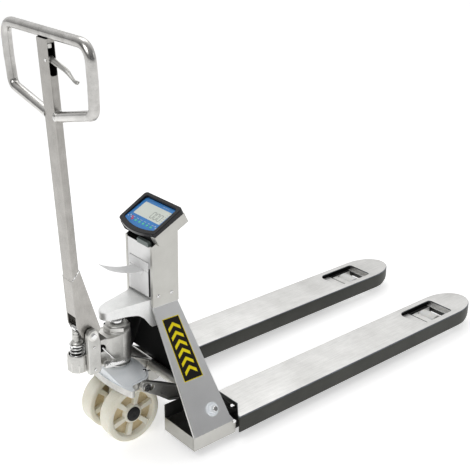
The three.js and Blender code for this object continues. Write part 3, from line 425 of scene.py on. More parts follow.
def bevel(obj, width, segments=3, angle=32.0, tidy=False):
    """Rounds the edges sharper than the angle; width in millimetres."""
    if tidy:
        flat = obj.modifiers.new("flat", "DECIMATE")
        flat.decimate_type = "DISSOLVE"
        flat.angle_limit = math.radians(1.0)
    mod = obj.modifiers.new("bevel", "BEVEL")
    mod.width = width / 1000.0
    mod.segments = segments
    mod.limit_method = "ANGLE"
    mod.angle_limit = math.radians(angle)
    mod.harden_normals = True
    mod.use_clamp_overlap = True
    return obj


def paint(obj, *keys):
    obj.data.materials.clear()
    for key in keys:
        obj.data.materials.append(M[key])


def piece(obj, body, key, *replaced, smooth=32.0, extra=()):
    """Finishes a piece: its shading, material, body and the CAD nodes that it stands for."""
    shade(obj.data, smooth)
    paint(obj, key, *extra)
    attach(obj, body)
    if replaced:
        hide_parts(*replaced)
    return obj


def finish_faces(obj, choose):
    """Gives each face the material whose number choose(x, y, z, normal) returns."""
    for polygon in obj.data.polygons:
        polygon.material_index = int(choose(*measured(polygon.center), polygon.normal))


def carry(node, key, width=0.8, segments=2):
    """Keeps a CAD node's shape, with its edges softened and a finish of its own."""
    obj = NODES[node]
    shade(obj.data)
    paint(obj, key)
    if width:
        bevel(obj, width, segments, tidy=True)
    return obj


def mirrored(obj, name):
    """A copy on the other side of the centre plane."""
    mesh = baked(obj)
    bm = bmesh.new()
    bm.from_mesh(mesh)
    for v in bm.verts:
        v.co.y = -v.co.y
    bmesh.ops.reverse_faces(bm, faces=bm.faces)
    bm.to_mesh(mesh)
    bm.free()
    copy = bpy.data.objects.new(name, mesh)
    bpy.context.scene.collection.objects.link(copy)
    return copy


SIDES = (("right", -1.0), ("left", 1.0))

# ------------------------------------------------------------------ forks
COVER = {"rear": 163.0, "notch": 204.0, "tip": 1347.0, "half": 77.5, "round": 124.0, "top": 85.0, "low": 30.5}
WINDOW = {"rear": 1036.0, "front": 1214.0, "half": 53.5}


def cover_outline(inset):
    """Plan of a cover about its own centre line; outward is negative."""
    c = COVER
    half = c["half"] - inset
    bend = c["tip"] - c["round"]
    points = [(c["rear"] + inset, -half)]
    for k in range(49):
        t = math.radians(-90.0 + 180.0 * k / 48)
        points.append((bend + (c["round"] - inset) * math.cos(t), half * math.sin(t)))
    return points + [(c["notch"] + inset, half), (c["notch"] + inset, -15.5), (c["rear"] + inset, 8.0 - half)]


def loft(name, layers, through=None):
    """Stacks outlines of equal length, each with its height."""
    n = len(layers[0][0])
    verts = [(x, y, z) for outline, z in layers for x, y in outline]
    faces = [list(range(n))[::-1], [(len(layers) - 1) * n + k for k in range(n)]]
    for level in range(len(layers) - 1):
        base = level * n
        faces += [[base + k, base + (k + 1) % n, base + n + (k + 1) % n, base + n + k] for k in range(n)]
    return raw(name, verts, faces, through)


def fork_cover(name):
    c, w = COVER, WINDOW
    edge = 4.5
    layers = [(cover_outline(0.0), c["low"])]
    for k in range(7):
        t = math.radians(90.0 * k / 6)
        layers.append((cover_outline(edge * (1.0 - math.cos(t))), c["top"] - edge * (1.0 - math.sin(t))))
    shell = loft(name, layers)
    hollow = prism("hollow", cover_outline(4.0), "xy", c["low"] - 5, c["top"] - 4.0)
    rear_round, front_round = 26.0, 12.0
    opening = prism("opening", fillet([(w["rear"], -w["half"], rear_round),
        (w["front"], -w["half"], front_round), (w["front"], w["half"], front_round),
        (w["rear"], w["half"], rear_round)], 8), "xy", 60, 100)
    rise = prism("rise", [(c["tip"] - 112, c["low"] - 5), (c["tip"] + 5, c["low"] - 5),
        (c["tip"] + 5, c["low"] + 30), (c["tip"] - 12, c["low"] + 22), (c["tip"] - 40, c["low"] + 11),
        (c["tip"] - 75, c["low"] + 3)], "xz", -100, 100)
    door = box("door", c["rear"] - 5, c["notch"] + 10, -73.4, 73.4, c["low"] - 2, 72)
    return cut(shell, hollow, opening, rise, door)


def skirt_face(x, y, z, normal):
    """The brushed top is the first material, the dark skirt the second and the rounded edge the third."""
    if normal.z < 0.35 and z < 82.5:
        return 1
    return 2 if normal.z < 0.8 else 0


cover = fork_cover("fork_cover")
cover.data.transform(Matrix.Translation((0.0, -TRACK / 1000.0, 0.0)))
other = mirrored(cover, "fork_cover_skin_left")
cover.name = "fork_cover_skin_right"
for obj, side in ((cover, "right"), (other, "left")):
    piece(obj, "chassis", "fork_top", f"fork_cover_{side}", extra=("skirt", "edge"))
    finish_faces(obj, skirt_face)
    bevel(obj, 0.6, 2, 40.0)

def both_faces(half):
    """A turned profile with two like faces, from its first (radius, height above the middle) pairs."""
    return [(r, -h) for r, h in half] + [(r, h) for r, h in reversed(half)]


ROLLER_FACE = [(6.6, 33.0), (9.0, 33.0), (9.4, 31.0), (13.0, 31.0), (13.6, 33.0), (34.5, 33.0), (36.2, 32.3),
    (37.0, 30.5)]
for side, s in SIDES:
    y = s * TRACK
    # plates inside the opening, just under the cover
    for end, x0, x1 in (("rear", WINDOW["rear"] - 14, 1090), ("front", 1199.0, WINDOW["front"] + 0.2)):
        sill = box(f"opening_{end}_plate_{side}", x0, x1, y - 52, y + 52, 67.0, 70.0)
        piece(bevel(sill, 0.6, 2), "chassis", "fork_top")
    guard = box(f"roller_guard_{side}", 1096.5, 1120, y - 36, y + 36, 66.0, 69.0)
    piece(bevel(guard, 0.8, 3), f"roller_frame_{side}", "fork_top")
    for k, edge_y in enumerate((-37.5, 35.5)):
        strap = box(f"roller_strap_{side}_{k}", 1096.5, 1196, y + edge_y, y + edge_y + 2.0, 52, 69.0)
        piece(bevel(strap, 0.6, 2), f"roller_frame_{side}", "fork_top")
    lip = box(f"opening_front_lip_{side}", WINDOW["front"] + 0.4, WINDOW["front"] + 2.6, y - 53, y + 53, 60,
        80.8)
    piece(bevel(lip, 0.5, 2), "chassis", "fork_top")
    # Painted shade: a black sheet along one side wall of the opening stands in for the shade there.
    shadow = box(f"opening_side_shade_{side}", WINDOW["rear"] - 8, WINDOW["front"] + 0.2, y + 54.2, y + 55.2,
        40, 80.8)
    piece(bevel(shadow, 0.3, 2), "chassis", "black")
    roller = lathe(f"load_roller_body_{side}", [(r, y + h) for r, h in both_faces(ROLLER_FACE)], "y", AXLE,
        96)
    piece(roller, f"load_roller_{side}", "white_nylon", f"load_roller_{side}")
    ring = lathe(f"load_roller_bearing_{side}", [(9.8, y - 32.4), (12.6, y - 32.4), (12.6, y + 32.4),
        (9.8, y + 32.4)], "y", AXLE, 48)
    piece(ring, f"load_roller_{side}", "bright")

# ------------------------------------------------------------------ steering wheels
RIBS = 6


def wheel_ribs(y_face, direction, name):
    """Ribs of one face of a wheel."""
    ribs = []
    start, end, depth = 30.0, 70.0, 14.5
    for k in range(RIBS):
        t = 2.0 * math.pi * (k + 0.25) / RIBS
        across, up_ = math.cos(t), math.sin(t)
        rib = [(start, -6.5), (end, -8.5), (end, 8.5), (start, 6.5)]
        outline = [(STEER_X + a * across - b * up_, WHEEL_R + a * up_ + b * across) for a, b in rib]
        low, high = sorted((y_face, y_face + direction * depth))
        ribs.append(bevel(prism(f"{name}_{k}", outline, "xz", low, high), 1.2, 2))
    return ribs


OUTER_FACE, INNER_FACE = 75.0, 25.0  # of a wheel, from the centre plane
WHEEL_FACE = [  # radius, and depth below the face, from the foot of the hub to the middle of the tread
    (34.0, 18.6), (64.0, 18.6), (67.5, 16.5), (71.5, 3.2), (73.0, 1.6), (76.0, 0.6), (85.5, 0.1), (88.2, 1.2),
    (89.6, 3.4), (90.0, 6.0)]
WHEEL_PROFILE = [(10.6, 70.5), (23.0, 70.5), (25.5, 71.0), (28.5, 70.4), (31.5, 58.0)]
WHEEL_PROFILE += [(r, OUTER_FACE - d) for r, d in WHEEL_FACE]
WHEEL_PROFILE += [(r, INNER_FACE + d) for r, d in reversed(WHEEL_FACE)]
WHEEL_PROFILE += [(31.5, 42.0), (28.5, 26.6), (23.0, 26.0), (10.6, 26.0)]


def pocket_shade_face(x, y, z, normal):
    """The deep floor of a wheel's pockets, between the hub and the rim, which takes the tan: a painted shade.
    """
    depth = min(abs(abs(y) - OUTER_FACE), abs(abs(y) - INNER_FACE))
    return 30.0 < math.hypot(x - STEER_X, z - WHEEL_R) < 68.5 and depth > 16.0


for side, s in SIDES:
    wheel = lathe("rim", [(r, s * h) for r, h in WHEEL_PROFILE], "y", (STEER_X, WHEEL_R), 144)
    shade(wheel.data)
    parts = [wheel]
    for index, (face, way) in enumerate(((OUTER_FACE - 4.8, -1.0), (INNER_FACE + 4.8, 1.0))):
        parts += wheel_ribs(s * face, s * way, f"rib{index}")
    whole = merged(f"steering_wheel_body_{side}", *parts)
    piece(whole, f"steering_wheel_{side}", "nylon", f"steering_wheel_{side}", extra=("tan",))
    finish_faces(whole, pocket_shade_face)
    cap = lathe(f"wheel_cap_{side}", [(r, s * (OUTER_FACE + h)) for r,
        h in ((0.0, 0.2), (7.0, 0.2), (8.0, 0.9), (16.5, 0.9), (18.5, -0.2), (21.8, -0.6), (22.4, -1.6),
        (22.4, -4.0), (0.0, -4.0))], "y", (STEER_X, WHEEL_R), 64)
    piece(cap, f"steering_wheel_{side}", "rubber", f"hub_cap_{side}")
    seal = lathe(f"wheel_seal_{side}", [(r, s * (INNER_FACE + h)) for r,
        h in ((11.0, 0.9), (11.0, -0.6), (19.0, -0.6), (20.0, 0.9))], "y", (STEER_X, WHEEL_R), 64)
    piece(seal, f"steering_wheel_{side}", "rubber")

# ------------------------------------------------------------------ handle loop, tiller and lever
def bezier_line(points, steps=10):
    """Polyline through (point, corner radius) pairs, with rounded corners."""
    out = []
    for i, (p, radius) in enumerate(points):
        p = Vector(p)
        if radius <= 0.0 or i in (0, len(points) - 1):
            out.append(tuple(p))
            continue
        a = (Vector(points[i - 1][0]) - p).normalized()
        b = (Vector(points[i + 1][0]) - p).normalized()
        half = a.angle(b) / 2.0
        reach = radius / math.tan(half)
        start, end = p + a * reach, p + b * reach
        for k in range(steps + 1):
            t = k / steps
            out.append(tuple(start * (1 - t) ** 2 + p * 2 * t * (1 - t) + end * t * t))
    return out


LOOP_R = 13.95
TUBE_X = -24.5


def loop_side(s):
    return [((TUBE_X, s * 24.0, 637.0), 0), ((TUBE_X, s * 198.0, 679.0), 26), ((TUBE_X, s * 204.0, 760.0), 0),
        ((TUBE_X, s * 203.0, 848.0), 44)]


route = bezier_line(loop_side(-1.0) + [((TUBE_X, 0.0, 848.0), 0)] + loop_side(1.0)[::-1], 12)
loop = tube("handle_loop_bar", route, LOOP_R, 36, through=leaned)
piece(loop, "tiller", "bar", "handle_loop")


TX0, TX1, THALF, TTOP = TUBE_X - 12.5, TUBE_X + 12.5, 25.0, 832.0
section = fillet([(TX0, -THALF, 4), (TX1, -THALF, 4), (TX1, THALF, 4), (TX0, THALF, 4)], 6)
inside = fillet([(TX0 + 3, -THALF + 3, 2), (TX1 - 3, -THALF + 3, 2), (TX1 - 3, THALF - 3, 2),
    (TX0 + 3, THALF - 3, 2)], 4)
post = prism("tiller_post", section, "xy", 173.0, TTOP + 3.0, leaned)
bore = prism("bore", inside, "xy", 170.0, TTOP + 10.0, leaned)
slot_cut = prism("slot", fillet([(TX0 + 2.6, 742, 6), (TX1 - 2.6, 742, 6), (TX1 - 2.6, 825, 2),
    (TX0 + 2.6, 825, 2)], 5), "xz", -THALF - 2, -THALF + 6, leaned)
saddle = tube("saddle", [(TUBE_X, -60.0, 848.0), (TUBE_X, 60.0, 848.0)], LOOP_R + 0.15, 48, through=leaned)
cut(post, bore, slot_cut, saddle)
piece(bevel(post, 0.5, 2, 40), "tiller", "tube", "tiller_tube", extra=("black",))
# Painted shade: the inner faces of the tiller tube's bore are black.
finish_faces(post, lambda x, y, z, normal: abs(upright(x, y, z)[0] - TUBE_X) < 9.7 and abs(y) < THALF - 2.9)

cheek = fillet([(TX0 - 0.2, 176), (TX0 - 0.2, 30, 10), (TX0 + 12, -4, 8), (-8, -15, 8), (20, -13, 14),
    (38, -2, 12), (TX1 + 1.6, 199, 2), (TX1 - 1.5, 203)], 6)
for side, s in SIDES:
    low, high = sorted((s * (THALF - 4.0), s * (THALF + 0.5)))
    plate = prism(f"tiller_cheek_{side}", cheek, "xz", low, high, leaned)
    hole = rod("hole", 7.5, s * 15, s * 35, "y", (0.0, 0.0), 40, leaned)
    piece(bevel(cut(plate, hole), 0.8, 2), "tiller", "tube")
    seam = tube(f"cheek_weld_{side}", [(TX0 + 0.5 + 25.5 * k / 30.0, s * (THALF + 0.3),
        176.5 + 24.5 * k / 30.0 + 0.3 * math.sin(k * 2.1)) for k in range(31)],
        [1.6 + 0.3 * math.sin(k * 1.7) for k in range(31)], 10, through=leaned)
    piece(seam, "tiller", "bright")
web = prism("tiller_web", fillet([(35, 2), (38, 2), (TX1 + 2.2, 196), (TX1 - 0.8, 196)], 2), "xz",
    -THALF + 3.9, THALF - 3.9, leaned)
piece(bevel(web, 0.5, 2), "tiller", "tube")
back_web = box("tiller_back_web", TX0, TX0 + 3, -THALF + 3.9, THALF - 3.9, 62, 172.4, leaned)
piece(bevel(back_web, 0.5, 2), "tiller", "tube")

bushing = box("lever_bushing", TX0 + 4.2, TX1 - 8.2, -THALF + 3.0, -THALF + 12, 811, 823, leaned)
piece(bevel(bushing, 2.0), "tiller", "cast")
for k, s in enumerate((-1.0, 1.0)):
    bead = tube(f"loop_weld_{k}", [(TUBE_X + 14.6 * math.cos(t), s * (THALF - 1.0 + 0.2 * math.sin(7 * t)),
        639.0 + 14.6 * math.sin(t)) for t in (2.0 * math.pi * q / 40 for q in range(40))],
        [1.5 + 0.3 * math.sin(3.1 * q) for q in range(40)], 8, closed=True, through=leaned)
    piece(bead, "tiller", "bright")
pin_head = lathe("lever_pin_head", [(0, TX0 - 1.8), (3.4, TX0 - 1.8), (4.2, TX0 - 1.0), (4.2, TX0 + 1.0),
    (0, TX0 + 1.0)], "x", (-13.0, 782.0), 32, leaned)
piece(pin_head, "tiller", "bright")

LEVER = [(-13, 784, 8.0), (-26, 782, 8.4), (-42, 778, 8.0), (-58, 774, 7.2), (-72, 771, 6.8), (-86, 768, 7.0),
    (-97, 762, 6.2), (-108, 755, 4.8), (-118, 749, 4.4), (-127, 746, 5.4), (-136, 746, 5.8), (-139, 746, 4.6)]
lever = tube("lever_arm", [(TUBE_X, y, z) for y, z, _ in LEVER], [r for _, _, r in LEVER], 24, through=leaned,
    squash=0.62)
smooth = lever.modifiers.new("smooth", "SUBSURF")
smooth.levels = smooth.render_levels = 2
piece(lever, "control_lever", "cast", "control_lever")
hub = lathe("lever_hub", [(0, TUBE_X - 8.4), (7.4, TUBE_X - 8.4), (8.2, TUBE_X - 7.6), (8.2, TUBE_X + 7.6),
    (7.4, TUBE_X + 8.4), (0, TUBE_X + 8.4)], "x", (-13.0, 782.0), 48, leaned)
piece(hub, "control_lever", "cast")

# ------------------------------------------------------------------ pump, crosshead and base plate
def turned(name, profile, key, body, *replaced, at=(STEER_X, 0.0), axis="z", steps=96):
    return piece(lathe(name, profile, axis, at, steps), body, key, *replaced)


PUMP_LOW = 242.4
VALVE = (-148.0, 321.0)
PEDAL_PIVOT = (-146.0, 278.0)
turned("pump_barrel", [(0, PUMP_LOW), (30, PUMP_LOW), (34, PUMP_LOW + 1.5), (38, 251), (39.6, 256), (40, 262),
    (40, 346), (39.3, 349.5), (37.5, 351.6), (35.2, 352.2), (34.2, 353.5), (34.0, 364), (33.2, 367.4),
    (31.0, 369.6), (27.5, 371.4), (24.0, 371.8), (17.0, 371.8), (16.6, 368.0), (0, 368.0)], "cast",
    "steering_unit", "pump_body")
gland = prism("pump_gland", circle(STEER_X, 0.0, 39.5, 6, 26.0), "xy", 352.4, 366.0)
gland_bore = rod("bore", 33.0, 340, 380, "z", (STEER_X, 0.0), 64)
piece(bevel(cut(gland, gland_bore), 1.8, 3), "steering_unit", "cast")
turned("piston_collar", [(0, 250), (15.5, 250), (15.5, 373.4), (19.0, 373.8), (20.8, 375.4), (21.0, 382.0),
    (19.6, 384.4), (15.5, 385.6), (15.0, 391.0), (13.6, 394.2), (9.0, 395.1), (0, 395.2)], "bright",
    "chassis", "piston_rod")
turned("thrust_ring", [(21, 236.4), (34.5, 236.4), (36, 237.6), (36, 240.8), (34.5, 241.9), (21, 241.9)],
    "bright", "base", "thrust_bearing")

cheeks = fillet([(-70, -40, 6), (-70, 40, 6), (-118, 38, 8), (-150, 30, 10), (-196, 30, 4), (-196, -30, 4),
    (-150, -30, 10), (-118, -38, 8)], 5)
block = prism("pump_block", cheeks, "xy", 262.0, 346.0)
room = box("room", -230, -128, -28.4, 28.4, 318, 440)
well = rod("well", 24, 269, 420, "z", (PLUNGER_X, 0.0), 64)
valve = rod("valve", 12.5, -60, -10, "y", VALVE)
core = rod("core", 38, 250, 400, "z", (STEER_X, 0.0), 64)
cut(block, room, well, valve, core)
piece(bevel(block, 2.4, 3), "steering_unit", "cast")
lever_bar = tube("release_bar", [(-149.0, -36.0, 327.0), (-141.0, -40.5, 314.0), (-119.0, -44.5, 284.0)], 3.2,
    16)
piece(lever_bar, "steering_unit", "bright")
# Painted shade: a black cup inside the valve bore stands in for the shade in the hole.
valve_hole_shade = lathe("valve_hole_shade", [(0, -11.0), (12.3, -11.0), (12.3, -29.0), (11.2, -29.0), (11.2, -12.2),
    (0, -12.2)], "y", VALVE, 40)
piece(valve_hole_shade, "steering_unit", "black")
for k, (x, y, z, r) in enumerate(((-180.0, -45.0, 270.0, 4.6), (-181.0, -45.0, 342.0, 3.8))):
    screw = lathe(f"ear_screw_{k}", [(0, y), (r, y), (r, y - 1.4), (r - 0.8, y - 2.2), (1.8, y - 2.4),
        (1.5, y - 1.4), (0, y - 1.4)], "y", (x, z), 32)
    piece(screw, "steering_unit", "bright")

cup = lathe("spring_cup", [(0, 262), (24.0, 262), (27.0, 263.2), (29.0, 266.5), (29.5, 271), (29.5, 312),
    (28.8, 314.6), (27.4, 315.8), (25.2, 315.8), (24.2, 314.8), (24.0, 312), (24.0, 270), (0, 270)], "z",
    (PLUNGER_X, 0.0), 96)
piece(cup, "steering_unit", "cast", extra=("black",))
# Painted shade: the inside of the spring cup is black.
finish_faces(cup, lambda x, y, z, normal: math.hypot(x - PLUNGER_X, y) < 24.15 and z > 265.0)
for k in range(5):
    t = math.radians(120.0 + 42.0 * k)
    c, s = math.cos(t), math.sin(t)
    spine = prism("spine", [(PLUNGER_X + a * c - b * s, a * s + b * c) for a,
        b in ((27.0, -2.6), (30.8, -1.6), (30.8, 1.6), (27.0, 2.6))], "xy", 264.0, 303.0 - 4 * k)
    spine.name = f"cup_spine_{k}"
    piece(bevel(spine, 1.0, 3), "steering_unit", "cast")

ear = fillet([(-200, 256, 5), (-160, 256, 8), (-158, 350, 6), (-164, 386, 12), (-172, 397.5, 9),
    (-192, 397.5, 9), (-200, 384, 12)], 8)
for side, s in SIDES:
    low, high = sorted((s * 29.0, s * 45.0))
    plate = prism(f"pump_ear_{side}", ear, "xz", low, high)
    hole = rod("hole", 7.4, s * 20, s * 60, "y", PIVOT)
    piece(bevel(cut(plate, hole), 3.0, 4), "steering_unit", "cast")
    boss = lathe(f"pump_ear_boss_{side}", [(r, s * h) for r, h in [(7.6, 44.0), (16.0, 44.0), (16.4, 46.6),
        (14.8, 47.8), (7.6, 47.8)]], "y", PIVOT, 56)
    piece(boss, "steering_unit", "cast")
    clip = lathe(f"pivot_clip_{side}", [(r, s * h) for r, h in [(6.4, 48.6), (9.2, 48.6), (9.2, 49.6),
        (6.4, 49.6)]], "y", PIVOT, 40)
    piece(clip, "steering_unit", "bright")
turned("pivot_pin", [(0, -52), (6.0, -52), (7.0, -51), (7.0, 51), (6.0, 52), (0, 52)], "bright",
    "steering_unit", "tiller_pin", at=PIVOT, axis="y", steps=48)

# release pedal, on its boss beside the barrel
pedal = prism("pedal_arm", fillet([(-157, 271, 4), (-140, 268, 5), (-90, 266.4, 3), (-86.4, 269, 2),
    (-87, 273, 2), (-112, 277, 6), (-134, 284.6, 6), (-153, 285.2, 5)], 5), "xz", -60.6, -48.2)
piece(bevel(pedal, 1.8, 3), "release_pedal", "bright", "release_pedal")
pad = prism("pedal_pad", fillet([(-116, -62.6, 5), (-88, -62.6, 5), (-88, -47.4, 4), (-116, -47.4, 4)], 5),
    "xy", 275.5, 279.0)
piece(bevel(pad, 1.0, 3), "release_pedal", "bright")
turned("pedal_screw", [(0, -63), (5.2, -63), (6.4, -61.8), (6.4, -60.6), (4.2, -60.6), (4.2, -46.8),
    (0, -46.8)], "bright", "release_pedal", at=PEDAL_PIVOT, axis="y", steps=40)
turned("pedal_boss", [(4.6, -47.6), (8.6, -47.6), (9.4, -46.6), (9.4, -28), (4.6, -28)], "cast",
    "steering_unit", at=PEDAL_PIVOT, axis="y", steps=40)

turned("plunger_stem", [(0, 312.5), (8.9, 312.5), (8.9, 344), (12.0, 344.2), (12.0, 348.6), (17.0, 349.2),
    (17.6, 351.6), (15.4, 354.8), (11.2, 356.4), (9.6, 358.4), (9.4, 371.0), (10.6, 373.0), (10.6, 377.0),
    (9.2, 379.2), (9.2, 383.6), (7.0, 385.8), (0, 386.4)], "cast", "plunger", "plunger", at=(PLUNGER_X, 0.0))
turned("spring_cap", [(12.6, 343.8), (21.2, 343.8), (21.8, 344.6), (21.8, 347.4), (21.2, 348.2),
    (12.6, 348.2)], "bright", "plunger", at=(PLUNGER_X, 0.0), steps=64)
turned("plunger_sleeve", [(9.2, 313.0), (12.4, 313.0), (12.4, 343.6), (9.2, 343.6)], "dark", "plunger",
    at=(PLUNGER_X, 0.0), steps=48)
COIL_LOW, COIL_HIGH, COIL_R, WIRE_R = 273.4, 341.0, 19.2, 2.4
coil = []
for k in range(281):
    t = k / 280.0
    turn = 2.0 * math.pi * 6.2 * t
    rise = COIL_LOW + (COIL_HIGH - COIL_LOW) * (t * t * (3 - 2 * t) * 0.25 + t * 0.75)
    coil.append((PLUNGER_X + COIL_R * math.cos(turn), COIL_R * math.sin(turn), rise))
spring = tube("return_spring", coil, WIRE_R, 14)
piece(spring, "plunger", "bright", "plunger_spring")
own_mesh(spring)
press = PIVOT[0] - 28.0, PIVOT[1] + 17.0
turned("press_roller_body", [(0, -24), (3.8, -24), (4.0, -23.6), (4.0, -10), (8.2, -10), (9, -9.2), (9, 9.2),
    (8.2, 10), (4.0, 10), (4.0, 23.6), (3.8, 24), (0, 24)], "bright", "tiller", "press_roller", at=press,
    axis="y", steps=56)

def crosshead():
    """The arm over the piston: its plan narrows to a round nose, and its side deepens towards the column."""
    nose = STEER_X - 28.0
    plan = [(90.0, -52.0), (34.0, -54.2), (24.0, -54.0), (14.0, -52.6), (4.0, -50.0)]
    plan += circle(nose, 0.0, 27.0, 24, -102.0, -156.0)
    plan += [(4.0, 50.0), (14.0, 52.6), (24.0, 54.0), (34.0, 54.2), (90.0, 52.0)]
    body = prism("crosshead_arm", plan, "xy", 300, 470)
    side = fillet([(-140, 395.8), (-60, 395.6, 30), (-26, 391, 30), (-6, 374, 30), (14, 345), (90, 345),
        (90, 433), (10, 433, 30), (-96, 427, 40), (-128, 419, 14), (-140, 404)], 8)
    flank = prism("flank", side, "xz", -90, 90)
    boolean(body, "INTERSECT", flank)
    hollow = box("hollow", -12, 91, -40, 40, 300, 416)
    cut(body, hollow)
    return body


arm = crosshead()
# Painted highlight: the arm takes the lighter copy of the cast finish.
piece(bevel(arm, 7.0, 5, 30.0), "chassis", "arm_top", "crosshead", smooth=40.0, extra=("black",))
# Painted shade: the faces inside the arm's hollow are black.
finish_faces(arm, lambda x, y, z, normal: abs(y) < 40.5 and x > -12.5 and z < 416.5)
turned("piston_seat", [(0, 395.8), (14, 395.8), (22, 396.2), (24, 400), (24, 404), (0, 404)], "cast",
    "chassis")

HUB_TOP = 236.0


def deck_outline(shrink=1.0):
    """The base plate from above: two horns hold the linkage pins, and its rear edge bows out."""
    half = [(-112.0, 122.0, 3.0), (-100.0, 122.0, 6.0), (-96.0, 101.0, 4.0), (-90.0, 96.5, 5.0),
        (-41.0, 93.0, 14.0)]
    for k in range(1, 13):
        t = k / 13.0
        half.append((-41 * (1 - t) ** 2 - 24 * t * (1 - t) - 4 * t * t,
            93 * (1 - t) ** 2 + 156 * t * (1 - t) + 36 * t * t))
    ring = [(x, -y, *r) for x, y, *r in half] + list(reversed(half))
    for k in range(1, 24):
        t = k / 24.0
        ring.append((-112.0 - 68.0 * t * (1 - t), 122.0 - 244.0 * t))
    ring = fillet(ring, 5)
    return [(STEER_X + (x - STEER_X) * shrink, y * shrink) for x, y in ring]


deck = prism("base_deck", deck_outline(), "xy", 184.0, 206.0)
deck_bore = rod("bore", 19, 150, 260, "z", (STEER_X, 0.0), 64)
deck_hole = rod("hole", 7.3, -160, 160, "y", PIN)
cut(deck, deck_bore, deck_hole)
piece(bevel(deck, 4.5, 5), "base", "cast", "base_plate", extra=("pale",))
# Painted reflection: the upward faces of the base plate, and the dome on it, take the pale bluish white while
# its sides stay cast.
finish_faces(deck, lambda x, y, z, normal: normal.z > 0.5)
dome = lathe("base_dome", [(19, 203), (112, 203), (112, 206.4), (96, 207.4), (80, 211.0), (66, 217.5),
    (54, 225.5), (46, 232.0), (43, 235.0), (40.0, HUB_TOP), (19, HUB_TOP)], "z", (STEER_X, 0.0), 96)
boolean(dome, "INTERSECT", prism("clip", deck_outline(0.93), "xy", 190.0, 250.0))
piece(bevel(dome, 1.5, 3, 40.0), "base", "pale")
for k, (x, y) in enumerate(((-22.0, -58.0), (-22.0, 58.0))):
    turned(f"deck_plug_{k}", [(0, 205.8), (5.4, 205.8), (5.4, 214.8), (4.6, 215.6), (0, 215.8)], "bright",
        "base", at=(x, y), steps=32)

# ------------------------------------------------------------------ linkage
angle = math.atan2(PIN[1] - SHAFT[1], SHAFT[0] - PIN[0])
reach = math.hypot(PIN[0] - SHAFT[0], PIN[1] - SHAFT[1])


def along_arm(x, y, z):
    """From an arm lying level behind the shaft to its raised place."""
    c, s = math.cos(angle), math.sin(angle)
    return (SHAFT[0] + x * c + z * s, y, SHAFT[1] - x * s + z * c)


arm_outline = fillet([(2, -16, 4), (2, 16, 4), (-reach + 60, 19, 30), (-reach - 4, 16.4, 10),
    (-reach - 16, 9, 10), (-reach - 16, -9, 10), (-reach - 4, -16.4, 10), (-reach + 60, -24, 30),
    (-reach + 110, -34, 20)], 6)
slot_outline = fillet([(-reach - 8.8, -9, 8.6), (-reach + 30, -9, 8.6), (-reach + 30, 9, 8.6),
    (-reach - 8.8, 9, 8.6)], 6)
web_outline = fillet([(-20, -13, 6), (-20, 12, 6), (-reach + 66, 12, 8), (-reach + 58, -12, 8),
    (-reach + 104, -25, 10)], 5)
for side, s in SIDES:
    low, high = sorted((s * 98.0, s * 112.0))
    plate = prism(f"rocker_arm_{side}", arm_outline, "xz", low, high, along_arm)
    slot_hole = prism("slot", slot_outline, "xz", min(s * 90, s * 120), max(s * 90, s * 120), along_arm)
    pockets = []
    for a, b in ((96.0, 101.5), (108.5, 114.0)):
        pockets.append(prism("pocket", web_outline, "xz", min(s * a, s * b), max(s * a, s * b), along_arm))
    cut(plate, slot_hole, *pockets)
    piece(bevel(plate, 1.6, 3), "rocker", "cast")
    lug_body = fillet([(-9, -4), (-12, -32, 11), (0, -44.2, 11), (12, -32, 11), (9, -4)], 8)

    def lugged(x, y, z):
        t = math.radians(18.2)
        return (SHAFT[0] + x * math.cos(t) + z * math.sin(t), y, SHAFT[1] - x * math.sin(t) + z * math.cos(t))
    lug = prism(f"rocker_lug_{side}", lug_body, "xz", s * TRACK - 5.0, s * TRACK + 5.0, lugged)
    lug_hole = rod("hole", 8, s * TRACK - 20, s * TRACK + 20, "y", (0.0, -32.0), 40, lugged)
    piece(bevel(cut(lug, lug_hole), 1.2, 3), "rocker", "cast")
turned("torsion_shaft", [(0, -232), (15.5, -232), (17, -230.5), (17, 230.5), (15.5, 232), (0, 232)], "cast",
    "rocker", "rocker", at=SHAFT, axis="y")

# ------------------------------------------------------------------ side plates: bolts, label and welds
PLATE_LOW, PLATE_HIGH = 74.9, 410.0
PLATE_OUT, PLATE_IN = 267.9, 63.4
SLOPE = (PLATE_OUT - PLATE_IN) / (PLATE_HIGH - PLATE_LOW)


def on_plate(s):
    """A frame lying on the leaning plate: X stays, Y runs up the slope from its foot, Z stands off it."""
    length = math.hypot(1.0, SLOPE)

    def through(x, y, z):
        up_, out = y / length, z / length
        return (x, s * (PLATE_OUT - up_ * SLOPE + out), PLATE_LOW + up_ + out * SLOPE)
    return through


def up_plate(z):
    """Distance up the slope of a height."""
    return (z - PLATE_LOW) * math.hypot(1.0, SLOPE)


